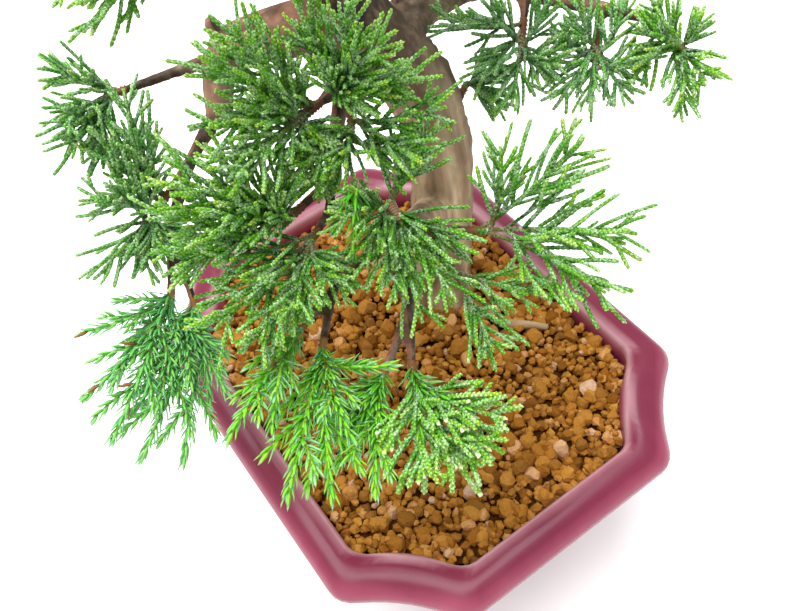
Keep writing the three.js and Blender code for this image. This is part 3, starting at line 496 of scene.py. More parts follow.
def side_line(root, toward, forward, length):
    """A side growth's bend, which turns towards the way that its parent grows."""
    return root, root + 0.5 * length * toward, root + length * (0.83 * toward + 0.2 * forward)


def grow_cord(skin, root, toward, forward, length, seed, fresh, forks, pale=0.0):
    """A side cord with short forks of its own, mostly in the plane of the spray.

    Pale marks a young, thicker cord, which may end in a dry tip; its forks are young too.
    """
    inward = unit(forward - toward * (forward @ toward))
    left = np.cross(toward, inward)
    line = side_line(root, toward, forward + CORD_SWAY * (draw(seed, 4) - 0.5) * left, length)
    lift = CORD_SHADE_SPREAD * (draw(seed, 5) - 0.5)
    tip = FRESH_TIP if draw(seed, 7) > 1 - FRESH_TIP_CHANCE else PLAIN_TIP
    wide = CORD_RADIUS * (0.92 + 0.16 * draw(seed, 6)) * (YOUNG_CORD_GAIN if pale else 1)
    pale = pale if draw(seed, 8) > 1 - PALE_END_CHANCE else 0.0
    # The root is darker by CORD_ROOT_SHADE: painted shade inside the spray, partly older growth.
    tones = (fresh - CORD_ROOT_SHADE + lift, fresh + tip + lift)
    add_cord(skin, line, left, (wide, wide * CORD_TAPER), tones, pale_tip=pale)
    if not forks:
        return
    count = int(max(0, round((length - CORD_SHORTEST) / FORKLET_PITCH)))
    for i in range(count):
        along = 0.26 + 0.58 * (i + 0.6 * draw(seed, i, 11)) / count
        point, ahead, across, over = frame_at(line, inward, along)
        turn = (0 if i % 2 else math.pi) + 1.3 * (draw(seed, i, 12) - 0.5)
        outward = math.cos(turn) * across + math.sin(turn) * over
        lean = math.radians(FORKLET_LEAN + FORKLET_LEAN_SPREAD * draw(seed, i, 13))
        size = FORKLET_SHORTEST + FORKLET_SHARE * length * (1 - along) * (0.6 + 0.7 * draw(seed, i, 14))
        way = math.cos(lean) * ahead + math.sin(lean) * outward
        grow_cord(skin, point, way, ahead, size, seed * 7 + i + 1, fresh + 0.06, forks - 1, pale)


def grow_scale_arm(skin, line, left, length, seed, young=0.0):
    """The model's side cords, finer ones between them, and the stem itself."""
    pale = 2 * (young > 0)
    stem, tones = (STEM_RADII[0] * 0.85, CORD_RADIUS), (young, 0.7 + young)
    add_cord(skin, line, left, stem, tones, woody=0.7 * (1 - young), pale_tip=pale)
    count = max(3, round(length / FORK_PITCH))
    for step in range(2 * count - 1):
        i = step / 2
        key = 40 + step if step % 2 else step // 2
        along = FIRST_FORK + FORK_SPAN * (i + 0.3 * draw(seed, key, 1)) / (count - 0.7)
        if along > 0.97:
            continue
        twist = (draw(seed, key, 6) - 0.5) * 0.7 + (step % 2) * 0.9
        point, forward, across, over = frame_at(line, left, along)
        level = 2 + 2 * key
        for k in range(3):
            if k == 2 and draw(seed, level, 7) > LOWER_CORD_SHARE:
                continue
            mark = 3 * level + k
            share = CORD_SHARE * (1 - CORD_SHORTENING * along) * (0.7 + 0.6 * draw(seed, mark, 3))
            size = CORD_SHORTEST + share * length
            lean = math.radians(CORD_LEAN + CORD_LEAN_SPREAD * (draw(seed, mark, 4) - 0.5))
            turn = 2 * math.pi * k / 3 + math.pi / 6 + twist
            turn += (draw(seed, mark, 2) - 0.5) * CORD_TILT_SPREAD
            outward = math.cos(turn) * across + math.sin(turn) * over
            toward = math.cos(lean) * forward + math.sin(lean) * outward
            root = point + outward * 0.5 * between(STEM_RADII, along)
            fresh = ARM_FRESHNESS * (1 + along) + young
            plain = draw(seed, mark, 9) < PLAIN_CORDS
            size *= PLAIN_CORD_GAIN if plain else 1
            grow_cord(skin, root, toward, forward, size, 1000 * seed + mark, fresh, not plain, pale)


def grow_needle_shoot(skin, line, left, length, seed, fresh):
    """Whorls of three needles on a slim stem, closing up towards its tip."""
    rings, sides = max(4, round(length / 3)) + 1, 5
    share = np.linspace(0, 1, rings)
    centres, forward, across, over = frames_along(line, left, share)
    radius = (0.62 - 0.3 * share) * min(1, 0.6 + length / 50)
    outward = directions_round(across, over, sides)
    points = (centres[:, None, :] + radius[:, None, None] * outward).reshape(-1, 3)
    tip = centres[-1] + forward[-1] * 0.6
    tones = np.zeros((rings * sides + 1, 3))
    tones[:, 0] = 1.1
    tones[: sides * rings // 2, 2] = 0.35
    skin.add(np.concatenate([points, tip[None]]), tube_faces(rings, sides), tones)

    whorls = max(3, round(length / WHORL_PITCH))
    index = np.repeat(np.arange(whorls + 1), 3)
    around = np.tile(np.arange(3), whorls + 1)
    along = np.clip(index / whorls, 0.03, 0.995)
    chance = np.array([[draw(seed, int(i), int(k), m) for m in range(4)] for i, k in zip(index, around)])
    centres, forward, across, over = frames_along(line, left, along)
    turn = 2 * math.pi * around / 3 + math.pi / 3 * (index % 2) + 0.7 * (chance[:, 0] - 0.5)
    outward = np.cos(turn)[:, None] * across + np.sin(turn)[:, None] * over
    lean = np.radians(NEEDLE_LEAN - NEEDLE_LEAN_CLOSING * along ** 2 + 14 * (chance[:, 1] - 0.5))
    toward = np.cos(lean)[:, None] * forward + np.sin(lean)[:, None] * outward
    inner = forward - toward * np.sum(forward * toward, axis=1, keepdims=True)
    lengths = NEEDLE_LENGTH * (1.05 - 0.3 * along) * (0.8 + 0.36 * chance[:, 2])
    lengths *= min(1, 0.62 + length / 50)
    tone = fresh + NEEDLE_FRESHENING * along + 0.3 * (chance[:, 3] - 0.5)
    values = np.stack([tone, 0.55 + 0.45 * chance[:, 0], (chance[:, 3] > 0.985) * 1.0], axis=1)
    add_needles(skin, centres + outward * 0.25, toward, inner, lengths, values)


def grow_needle_arm(skin, line, left, length, seed):
    grow_needle_shoot(skin, line, left, length, seed, SHOOT_FRESHNESS)
    count = max(2, round(length / SIDE_SHOOT_PITCH))
    for i in range(count):
        along = 0.14 + SIDE_SHOOT_SPAN * i / count
        point, forward, across, over = frame_at(line, left, along)
        lean = math.radians(SIDE_SHOOT_LEAN + SIDE_SHOOT_LEAN_SPREAD * draw(seed, i, 8))
        tilt = 1.2 * (draw(seed, i, 9) - 0.5)
        size = SIDE_SHOOT_SHARE * length * (1 - 0.5 * along) * (0.8 + 0.4 * draw(seed, i, 10))
        outward = (1 if i % 2 else -1) * math.cos(tilt) * across + math.sin(tilt) * over
        toward = math.cos(lean) * forward + math.sin(lean) * outward
        way = side_line(point, toward, forward, size)
        grow_needle_shoot(skin, way, over, size, 1000 * seed + i, SIDE_SHOOT_FRESHNESS)


def add_young_bases(skin, line, left, length, seed):
    """Needles on the first part of an arm that ends in scale foliage."""
    part = YOUNG_BASE_SHARE
    root, middle, _ = line
    base = (root, root + part * (middle - root), bend(line, part)[0][0])
    grow_needle_shoot(skin, base, left, part * length, seed, YOUNG_BASE_FRESHNESS)


def add_scarred_twig(skin, line, left):
    """A brown, ringed sleeve of old leaf scars round the start of an arm."""
    rings, sides = 2 * SCARS + 1, 10
    centres, _, across, over = frames_along(line, left, np.linspace(0.02, SCARRED_SHARE, rings))
    raised = np.arange(rings) % 2
    radius = np.where(raised, 1.42, 1.02) * np.linspace(1.1, 0.82, rings)
    points = centres[:, None, :] + radius[:, None, None] * directions_round(across, over, sides)
    points = np.concatenate([points.reshape(-1, 3), centres[-1:]])
    # The raised rings get a little of the pale cut-end colour mixed into their brown: a painted highlight
    # on their crests.
    tones = np.repeat(np.stack([0 * raised, 2 * raised, 1 - 0.22 * raised], axis=1), sides, axis=0)
    skin.add(points, ring_triangles(rings, sides), np.concatenate([tones, [[0, 0, 1]]]))


def make_bunch(index, name, twig, arms, leaf, needle):
    """One spray: the model's arms, a shorter companion beside each, and lesser ones between them."""
    young = MIXED_FRESHNESS if name == MIXED_BUNCH else 0.0
    skin, young_skin = Skin(), Skin()
    hub, before = (np.array(row[:3], float) for row in (twig[-1], twig[-2]))
    launch = unit(hub - before)
    is_young, all_arms = name in NEEDLE_BUNCHES, arms + LESSER_ARMS.get(name, [])
    fork = hub + launch * NODE_PITCH * len(all_arms)
    _, stub_left = arm_line(hub, launch, *arms[0])
    stub = (hub - launch * 0.6, (hub + fork) / 2, fork)
    add_cord(skin, stub, stub_left, (1.2, 0.95), (0, 0.2), woody=2.5, sides=6)
    for i, (bearing, rise, length) in enumerate(all_arms):
        node = hub + launch * NODE_PITCH * (i + 0.6)
        seed = 100 * index + i
        grow = grow_needle_arm if is_young else partial(grow_scale_arm, young=young)
        line, left = arm_line(node, launch, bearing, rise, length)
        grow(skin, line, left, length, seed)
        if (name, i) == SCARRED_ARM:
            add_scarred_twig(skin, line, left)
        if young:
            add_young_bases(young_skin, line, left, length, seed)
        if name in OPEN_BUNCHES:
            continue
        sign = 1 if draw(seed, 21) > 0.5 else -1
        turned = bearing + sign * between(COMPANION_TURN, draw(seed, 22))
        raised = rise + COMPANION_RISE_SPREAD * (draw(seed, 23) - 0.5)
        shorter = length * between(COMPANION_SHARE, draw(seed, 24))
        line, left = arm_line(node, launch, turned, raised, shorter)
        grow(skin, line, left, shorter, seed + COMPANION_SEED)
    for start, bearing, rise, length in YOUNG_SHOOTS.get(name, []):
        start, toward = np.array(start, float), heading(bearing, rise)
        line = (start, start + 0.5 * length * toward, start + length * toward)
        left = unit(np.cross(UP, toward))
        grow_needle_shoot(young_skin, line, left, length, 100 * index, SHOOT_FRESHNESS)
    skin.absorb(young_skin)
    materials = [needle] if is_young else [leaf, needle] if young_skin.count else [leaf]
    piece = skin.to_object(f"spray_{name}", *materials)
    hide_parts(f"foliage_{name}")
    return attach(piece, "root")


def outline(offset, z, per_round=5, per_dip=8):
    """The pot's outline, a distance inside its outermost edge, at height z."""
    half_length, half_width = POT_LENGTH / 2 - offset, POT_WIDTH / 2 - offset
    cut = CORNER_CUT - CORNER_CUT_PER_OFFSET * offset
    start = np.array((half_length, half_width - cut))
    end = np.array((half_length - cut, half_width))

    def dipped(u):
        return start + (end - start) * u - CORNER_DIP / math.sqrt(2) * 4 * u * (1 - u)

    trim = CORNER_ROUNDING / cut
    first = np.array((half_length, half_width - cut - CORNER_ROUNDING))
    last = np.array((half_length - cut - CORNER_ROUNDING, half_width))
    rounds = np.linspace(0, 1, per_round)
    quarter = list(bend((first, start, dipped(trim)), rounds)[0])
    quarter += [dipped(u) for u in np.linspace(trim, 1 - trim, per_dip)[1:-1]]
    quarter += list(bend((dipped(1 - trim), end, last), rounds)[0])
    quarter = np.array(quarter)
    turned = quarter[::-1]
    plan = np.concatenate([quarter, turned * (-1, 1), quarter * (-1, -1), turned * (1, -1)])
    return np.column_stack([plan, np.full(len(plan), z)])


def smooth_profile(points, steps=4):
    """More points on a smooth curve through a profile's points."""
    points = np.array(points, float)
    padded = np.concatenate([2 * points[:1] - points[1:2], points, 2 * points[-1:] - points[-2:-1]])
    curve = []
    for i in range(1, len(padded) - 2):
        a, b, c, d = padded[i - 1:i + 3]
        for t in np.arange(steps) / steps:
            curve.append(0.5 * (2 * b + (c - a) * t + (2 * a - 5 * b + 4 * c - d) * t ** 2
                                + (3 * b - a - 3 * c + d) * t ** 3))
    curve.append(points[-1])
    return curve


def loft_object(name, levels, material):
    """A closed solid of stacked outlines."""
    rings = [outline(offset, z) for offset, z in levels]
    return closed_stack(name, rings, material)


def closed_stack(name, rings, material):
    """A closed solid of rings of points, from the lowest to the highest."""
    sides = len(rings[0])
    mesh = bmesh.new()
    points = [[mesh.verts.new(point * MM) for point in ring] for ring in rings]
    for lower, upper in zip(points, points[1:]):
        for k in range(sides):
            n = (k + 1) % sides
            mesh.faces.new((lower[k], lower[n], upper[n], upper[k]))
    mesh.faces.new(points[0][::-1])
    mesh.faces.new(points[-1])
    data = bpy.data.meshes.new(name)
    mesh.to_mesh(data)
    mesh.free()
    data.materials.append(material)
    return link_object(name, data)


def cut(target, tool, operation="DIFFERENCE"):
    """Join or cut one object by another, which is then removed."""
    modifier = target.modifiers.new("cut", "BOOLEAN")
    modifier.object = tool
    modifier.operation = operation
    modifier.solver = "EXACT"
    bake_modifiers(target)
    bpy.data.objects.remove(tool)


def make_pot(material):
    body = smooth_profile([(17.5, FOOT_HEIGHT), (14.6, 19), (10, 36), (6.4, 50.2)])
    under = smooth_profile([(6.4, 50.2), (4.2, 50.6), (1.9, 51)], 2)[1:]
    lip = smooth_profile([(1.1, 51.4), (0.2, 52.6), (0, 54.4), (0.3, 56), (1.8, 58.2), (4.6, 59.6),
                          (7.2, POT_HEIGHT)], 3)
    inner = smooth_profile([(9.4, 59.6), (10.6, 58.6), (11.2, 57), (11.5, 54), (12.3, 50)], 2)
    pot = loft_object("glazed_pot", body + under + lip + [(9.4, 59.6)], material)
    hollow = smooth_profile([(22.5, FLOOR_TOP), (18, 26), (12.3, 50)], 4)[:-1] + inner[::-1]
    hollow += [(7.4, POT_HEIGHT + 0.6)]
    cut(pot, loft_object("hollow", hollow, material))
    feet = [(19.9, 0), (19.4, 0.5), (18.2, FOOT_HEIGHT - 1), (18.2, FOOT_HEIGHT + 1)]
    feet = loft_object("feet", feet, material)
    cut(feet, loft_object("inside", [(27.6, -1), (28.4, FOOT_HEIGHT)], material))
    for gap, sideways in ((FOOT_GAP_ALONG_LENGTH, False), (FOOT_GAP_ALONG_WIDTH, True)):
        wide, narrow = gap / 2 + FOOT_GAP_SLOPE, gap / 2
        profile = [(-wide, -1), (wide, -1), (narrow, FOOT_HEIGHT), (-narrow, FOOT_HEIGHT)]
        rings = [np.array([(x, y, z) for x, z in profile], float) for y in (POT_LENGTH, -POT_LENGTH)]
        if sideways:
            rings = [ring[:, (1, 0, 2)] for ring in rings[::-1]]
        cut(feet, closed_stack("gap", rings, material))
    cut(pot, feet, "UNION")
    for x in (-DRAIN_SPACING / 2, DRAIN_SPACING / 2):
        angles = np.linspace(0, 2 * math.pi, 36, endpoint=False)
        circle = np.column_stack([x + DRAIN_RADIUS * np.cos(angles), DRAIN_RADIUS * np.sin(angles)])
        rings = [np.column_stack([circle, np.full(36, z)]) for z in (1, FLOOR_TOP + 1)]
        cut(pot, closed_stack("drain", rings, material))
    pot.data.shade_smooth()
    pot.data.set_sharp_from_angle(angle=math.radians(38))
    mark_glaze(pot.data)
    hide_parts("pot")
    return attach(pot, "root")


def mark_glaze(data):
    """How far inside the outline each point of the lip lies, and how near to one of its edges."""
    x, y, z = np.abs(vertex_values(data, "co")).T / MM
    slope = 2 - CORNER_CUT_PER_OFFSET
    corner = (POT_LENGTH / 2 + POT_WIDTH / 2 - CORNER_CUT - CORNER_DIP * 1.1 - x - y) / slope
    inside = np.minimum(np.minimum(POT_LENGTH / 2 - x, POT_WIDTH / 2 - y), corner)
    on_lip = np.clip((z - LIP_BASE) / 6, 0, 1)
    share = np.where(z > LIP_BASE, np.clip(inside / LIP_WIDTH, 0, 1), 0.4)
    inner_edge = np.clip(1 - np.abs(inside - LIP_INNER_EDGE) / 1.3, 0, 1) * (z > 56)
    lower_edge = np.clip(1 - np.abs(z - LIP_LOWER_EDGE) / 0.9, 0, 1) * (inside < 3)
    foot_edge = np.clip(1 - z / 0.8, 0, 1)
    edge = np.maximum(np.maximum(inner_edge * 0.85, lower_edge * 0.5), foot_edge)
    mark_growth(data, np.stack([share * on_lip + 0.4 * (1 - on_lip), edge, on_lip], axis=1))


def soil_height(x, y):
    away = math.hypot(x - TRUNK_FOOT[0], y - TRUNK_FOOT[1])
    return SOIL_LEVEL + SOIL_MOUND * math.exp(-((away / SOIL_MOUND_REACH) ** 2))


def lies_in_pot(x, y, margin):
    """Whether a grain's middle is a margin or more inside the soil's edge."""
    half_length, half_width = POT_LENGTH / 2 - SOIL_EDGE, POT_WIDTH / 2 - SOIL_EDGE
    cut_here = CORNER_CUT - CORNER_CUT_PER_OFFSET * SOIL_EDGE
    if abs(x) > half_length - margin or abs(y) > half_width - margin:
        return False
    reach = half_length + half_width - cut_here - math.sqrt(2) * (margin + CORNER_DIP * 0.5)
    return abs(x) + abs(y) < reach


def ball(subdivisions):
    """Points and triangles of a ball made of triangles, of radius 1."""
    mesh = bmesh.new()
    bmesh.ops.create_icosphere(mesh, subdivisions=subdivisions, radius=1)
    points = np.array([vertex.co[:] for vertex in mesh.verts])
    triangles = np.array([[vertex.index for vertex in face.verts] for face in mesh.faces])
    mesh.free()
    return points, triangles


def grain_places(rng):
    """Middles, lifts, radii and detail of the grains: a bed, and large and small ones lying on it."""
    row_step = BED_SPACING * 0.86
    for j in range(-24, 25):
        for i in range(-30, 31):
            x = (i + 0.5 * (j % 2)) * BED_SPACING + rng.uniform(-0.9, 0.9)
            y = j * row_step + rng.uniform(-0.9, 0.9)
            yield x, y, rng.uniform(-1.2, 0.3), rng.uniform(*BED_RADIUS), 1
    for _ in range(WALL_GRAINS):
        x, y = rng.uniform(-70, 70), rng.uniform(-52, 52)
        if not lies_in_pot(x, y, 3):
            yield x, y, rng.uniform(0.2, 1.3), rng.uniform(*BED_RADIUS), 1
    loose = ((LARGE_GRAINS, (-0.3, 1.4), LARGE_RADIUS, 2), (SMALL_GRAINS, (0.7, 1.8), SMALL_RADIUS, 1))
    for grains, lift, radius, detail in loose:
        for _ in range(grains):
            x, y = rng.uniform(-66, 66), rng.uniform(-50, 50)
            yield x, y, rng.uniform(*lift), rng.uniform(*radius), detail


def make_soil(material):
    """A block of soil with a layer of separate grains on it."""
    rng = np.random.default_rng(5)
    skin = Skin()
    levels = ((22.5, FLOOR_TOP + 0.4), (18, 26), (12.3, 50.6))
    rings = [outline(offset + 0.4, z, 2, 3) for offset, z in levels]
    points = np.concatenate([*rings, [[0, 0, SOIL_LEVEL - 1.2]]])
    # The block below the grains takes tone 0, the clay's near-black first colour: painted shade in the
    # gaps between the grains.
    skin.add(points, ring_triangles(len(rings), len(rings[0])), np.tile((0.0, 0, 0), (len(points), 1)))
    shapes = {detail: ball(detail) for detail in (1, 2)}
    for x, y, lift, radius, detail in grain_places(rng):
        if not lies_in_pot(x, y, radius * 0.3):
            continue
        shape, triangles = shapes[detail]
        turn = np.linalg.qr(rng.normal(size=(3, 3)))[0]
        cuts = rng.normal(size=(7, 3))
        cuts /= np.linalg.norm(cuts, axis=1, keepdims=True)
        reach = np.min(0.8 / np.maximum(shape @ cuts.T, 0.62), axis=1)
        rough = np.minimum(reach, 1.12) * rng.uniform(0.92, 1.08, len(shape))
        grain = shape * rough[:, None] * (radius * rng.uniform(0.76, 1.24, 3)) @ turn
        grain += (x, y, soil_height(x, y) + lift)
        tone = np.tile((rng.uniform(0.04, 1), rng.uniform(), 0.0), (len(shape), 1))
        flip = triangles if np.linalg.det(turn) > 0 else triangles[:, ::-1]
        skin.add(grain, flip, tone)
    piece = skin.to_object("akadama_grains", material)
    piece.data.set_sharp_from_angle(angle=math.radians(28))
    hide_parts("soil")
    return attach(piece, "root")


def smooth_path(rows, steps):
    """More rows along a smooth curve through a limb's rows."""
    return np.array(smooth_profile(rows, steps))


def limb_tube(rows, sides, shape=None):
    """Rings round a path, as points and triangles; shape(angles, z) scales their radii."""
    centres, radii = rows[:, :3], rows[:, 3]
    tangents = np.gradient(centres, axis=0)
    tangents /= np.linalg.norm(tangents, axis=1, keepdims=True)
    across = np.array((1.0, 0, 0)) if abs(tangents[0][0]) < 0.8 else np.array((0, 1.0, 0))
    angles = 2 * math.pi * np.arange(sides) / sides
    points = []
    for centre, tangent, radius in zip(centres, tangents, radii):
        across = unit(across - tangent * (across @ tangent))
        side = np.cross(tangent, across)
        scale = radius * (shape(angles, centre[2]) if shape else np.ones(sides))
        outward = np.cos(angles)[:, None] * across + np.sin(angles)[:, None] * side
        points.append(centre + scale[:, None] * outward)
    tip = centres[-1] + tangents[-1] * radii[-1] * 0.5
    return np.concatenate([*points, tip[None]]), ring_triangles(len(rows), sides)


def flare(angles, z):
    """The trunk's swell into its roots near the soil."""
    share = np.clip((FLARE_TOP - z) / FLARE_REACH, 0, 1)
    return 1 + share * (0.14 * np.cos(3 * angles + 0.6) + 0.05 * np.cos(7 * angles + 2))


def make_wood(material):
    """Trunk, limbs and twigs fused into one skin, with bark ridges along them."""
    paths = [smooth_path(TRUNK, 6)]
    parts = [limb_tube(paths[0], TRUNK_SIDES, flare)]
    for rows in LIMBS:
        paths.append(smooth_path(rows, 6))
        parts.append(limb_tube(paths[-1], LIMB_SIDES))
    for name, twig, _ in BUNCHES:
        rows = smooth_path([row[:3] + [max(row[3], 1.15)] for row in twig], 5)
        paths.append(rows)
        if name != "apex":
            parts.append(limb_tube(rows, TWIG_SIDES))
    points, triangles, count = [], [], 0
    for part_points, part_triangles in parts:
        points.append(part_points)
        triangles.append(part_triangles + count)
        count += len(part_points)
    piece = make_object("bark_skin", np.concatenate(points), np.concatenate(triangles), material)
    remesh = piece.modifiers.new("fuse", "REMESH")
    remesh.mode = "VOXEL"
    remesh.voxel_size = FUSE_VOXEL * MM
    smooth = piece.modifiers.new("soften", "SMOOTH")
    smooth.factor = 0.5
    smooth.iterations = 2
    bake_modifiers(piece)
    shape_bark(piece.data, np.concatenate(paths))
    piece.data.shade_smooth()
    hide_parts("trunk_and_branches")
    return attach(piece, "root")


def shape_bark(data, rows):
    """Ridges that run along each limb, and the place round and along it as colour values."""
    co, normals = vertex_values(data, "co") / MM, vertex_values(data, "normal")
    nearest, best = np.zeros(len(co), int), np.full(len(co), 1e9)
    for i, row in enumerate(rows):
        away = np.linalg.norm(co - row[:3], axis=1) - row[3] * 0.9
        closer = away < best
        nearest[closer], best[closer] = i, away[closer]
    tangents = np.gradient(rows[:, :3], axis=0)
    tangents /= np.linalg.norm(tangents, axis=1, keepdims=True) + 1e-9
    tangent = tangents[nearest]
    radius = rows[nearest, 3]
    offset = co - rows[nearest, :3]
    east = np.cross(tangent, (0.2, 0.9, 0.4))
    east /= np.linalg.norm(east, axis=1, keepdims=True)
    north = np.cross(tangent, east)
    angle = np.arctan2(np.sum(offset * north, axis=1), np.sum(offset * east, axis=1))
    run = co[:, 2] * 0.22
    ridges = (np.sin(9 * angle + 1.7 * np.sin(run) + 0.4 * np.sin(3.1 * run))
              + 0.6 * np.sin(17 * angle - 2.3 * np.sin(0.7 * run) + 1))
    flakes = np.sin(co[:, 2] * 0.9 + 3 * np.sin(4 * angle + run)) * np.sin(5 * angle + 0.3 * co[:, 2])
    depth = np.clip(radius / 10, 0.05, 1)
    thin = np.clip((5 - radius) / 2, 0, 1)
    high = (co[:, 2] - DARK_BARK_FROM) / (DARK_BARK_FULL - DARK_BARK_FROM)
    high = np.maximum(np.clip(high, 0, 1), thin)
    vein = np.clip(0.5 - 1.4 * (normals @ VEIN_AWAY) + 0.3 * np.sin(run * 1.9), 0, 1)
    rough = 1 + 2.2 * high * (1 - vein)
    co += normals * (depth * (0.16 * ridges + 0.16 * flakes) * rough)[:, None]
    data.vertices.foreach_set("co", (co * MM).astype(np.float32).ravel())
    mark_growth(data, np.stack([vein, 0.5 + 0.25 * ridges, high], axis=1))
    data.update()


def stick_section(angles, _):
    """The dry stick's uneven section, the same all along it."""
    return 1 + 0.1 * np.sin(3 * angles) + 0.05 * np.sin(7 * angles)


def make_stick(material):
    """The dry stick, with a dark broken end."""
    sides = 12
    points, triangles = limb_tube(smooth_path(STICK, 5), sides, stick_section)
    tones = np.zeros((len(points), 3))
    tones[:2 * sides, 2] = 1
    piece = make_object("dry_stick", points, triangles, material, tones)
    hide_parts("soil_stick")
    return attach(piece, "root")


class Look:
    """A material whose nodes are added and linked by name of kind."""

    def __init__(self, name, **sockets):
        self.material = bpy.data.materials.new(name)
        self.material.use_nodes = True
        self.tree = self.material.node_tree
        self.shader = self.tree.nodes["Principled BSDF"]
        for socket, value in sockets.items():
            self.feed(self.shader.inputs[socket.replace("_", " ")], value)

    def feed(self, socket, value):
        """Link a socket to another node's output, or set its own number or colour."""
        if hasattr(value, "links"):
            self.tree.links.new(value, socket)
        elif socket.type == "RGBA":
            socket.default_value = (*value, 1)
        else:
            socket.default_value = value

    def add(self, kind, **sockets):
        node = self.tree.nodes.new("ShaderNode" + kind)
        for socket, value in sockets.items():
            self.feed(node.inputs[socket], value)
        return node

    def link(self, source, socket):
        self.feed(self.shader.inputs[socket], source)

    def place(self):
        return self.add("TexCoord").outputs["Object"]

    def growth(self):
        node = self.add("Attribute")
        node.attribute_name = "growth"
        split = self.add("SeparateColor", Color=node.outputs["Color"])
        return split.outputs[0], split.outputs[1], split.outputs[2]

    def noise(self, scale, detail=3.0, place=None, stretch=None):
        vector = place or self.place()
        if stretch:
            vector = self.add("Mapping", Vector=vector, Scale=stretch).outputs[0]
        return self.add("TexNoise", Vector=vector, Scale=scale, Detail=detail).outputs[0]

    def ramp(self, value, stops):
        """Colours, or greys given as one number, at places from 0 to 1."""
        node = self.add("ValToRGB", Fac=value)
        elements = node.color_ramp.elements
        while len(elements) < len(stops):
            elements.new(0.5)
        for element, (position, color) in zip(elements, stops):
            element.position = position
            element.color = (*(color if isinstance(color, tuple) else (color,) * 3), 1)
        return node.outputs[0]

    def mix(self, share, first, second):
        node = self.add("Mix")
        node.data_type = "RGBA"
        for index, value in ((0, share), (6, first), (7, second)):
            self.feed(node.inputs[index], value)
        return node.outputs[2]

    def math(self, operation, first, second=0.0, clamp=False):
        node = self.add("Math")
        node.operation = operation
        node.use_clamp = clamp
        self.feed(node.inputs[0], first)
        self.feed(node.inputs[1], second)
        return node.outputs[0]

    def times(self, value, factor, clamp=False):
        return self.math("MULTIPLY", value, factor, clamp)

    def vary(self, value, noise, amount):
        """A value that a noise lifts and lowers by half an amount."""
        return self.math("ADD", value, self.times(self.math("SUBTRACT", noise, 0.5), amount))

    def bump(self, height, strength, distance):
        node = self.add("Bump", Height=height, Strength=strength, Distance=distance)
        self.link(node.outputs[0], "Normal")


def glaze_look():
    """Plum glaze, thick and dark along the lip's top and thin and pale at its two edges; the pale sides of
    the lip's top are partly thinner glaze and partly painted reflection.
    """
    look = Look("plum glaze", Roughness=0.26, Specular_IOR_Level=0.25)
    inside, edge, _ = look.growth()
    broad = look.noise(22, 3)
    streaks = look.noise(70, 4, stretch=(1, 1, 0.12))
    thick = look.ramp(broad, [(0.3, (0.145, 0.0115, 0.036)), (0.7, (0.19, 0.018, 0.047))])
    thin = look.ramp(streaks, [(0.3, (0.32, 0.06, 0.108)), (0.7, (0.39, 0.088, 0.142))])
    worn = look.ramp(streaks, [(0.3, (0.56, 0.3, 0.34)), (0.7, (0.68, 0.44, 0.47))])
    body = look.mix(look.times(streaks, 0.35), thick, thin)
    # Painted reflection, partly thinner glaze: the lip's top turns paler towards its outer and inner
    # sides.
    band = look.ramp(inside, [(0.0, 0.85), (0.14, 0.5), (0.3, 0), (0.7, 0), (0.87, 0.5), (1.0, 0.9)])
    look.link(look.mix(edge, look.mix(band, body, thin), worn), "Base Color")
    look.bump(look.noise(160, 2), 0.03, 0.0006)
    return look.material


def akadama_look():
    """Fired clay, each grain of its own tone from dark brown to a pale pink."""
    look = Look("akadama clay", Roughness=0.95, Specular_IOR_Level=0.15)
    tone, other, _ = look.growth()
    # Tone 0, near black, is only the block below the grains: painted shade in the gaps between them.
    colour = look.ramp(tone, [(0.0, (0.03, 0.008, 0.001)), (0.04, (0.16, 0.052, 0.004)),
                              (0.3, (0.35, 0.13, 0.011)), (0.62, (0.52, 0.22, 0.028)),
                              (0.86, (0.67, 0.31, 0.055)), (0.96, (0.8, 0.42, 0.17)),
                              (1.0, (0.85, 0.6, 0.44))])
    fine = look.noise(700, 4)
    pitted = look.mix(look.times(fine, 0.6), colour, (0.2, 0.065, 0.006))
    dusty = look.mix(look.times(other, 0.2), pitted, (0.75, 0.4, 0.1))
    look.link(dusty, "Base Color")
    look.bump(look.noise(900, 5), 0.8, 0.0009)
    return look.material


def bark_look():
    """Smooth tan bark below, and above it dark flakes beside a reddish live vein."""
    look = Look("juniper bark", Roughness=0.86)
    vein, ridge, high = look.growth()
    along = look.noise(120, 5, stretch=(1, 1, 0.16))
    short = look.noise(260, 6, stretch=(1, 1, 0.4))
    tan = look.ramp(along, [(0.34, (0.12, 0.072, 0.036)), (0.5, (0.36, 0.24, 0.135)),
                            (0.66, (0.68, 0.52, 0.32))])
    red = look.ramp(along, [(0.3, (0.1, 0.036, 0.02)), (0.5, (0.27, 0.115, 0.07)),
                            (0.7, (0.42, 0.22, 0.145))])
    grey = look.ramp(short, [(0.34, (0.012, 0.008, 0.005)), (0.52, (0.09, 0.055, 0.034)),
                             (0.68, (0.24, 0.18, 0.13))])
    patches = look.ramp(look.vary(vein, look.noise(38, 3), 0.9), [(0.4, 0), (0.56, 1)])
    flakes = look.ramp(look.noise(170, 7), [(0.4, 0.65), (0.54, 0)])
    upper = look.mix(flakes, look.mix(patches, grey, red), (0.04, 0.02, 0.012))
    whole = look.mix(high, tan, upper)
    look.link(look.mix(look.times(ridge, 0.25), whole, (0.03, 0.02, 0.014)), "Base Color")
    look.bump(look.noise(420, 6, stretch=(1, 1, 0.25)), 0.8, 0.0009)
    return look.material


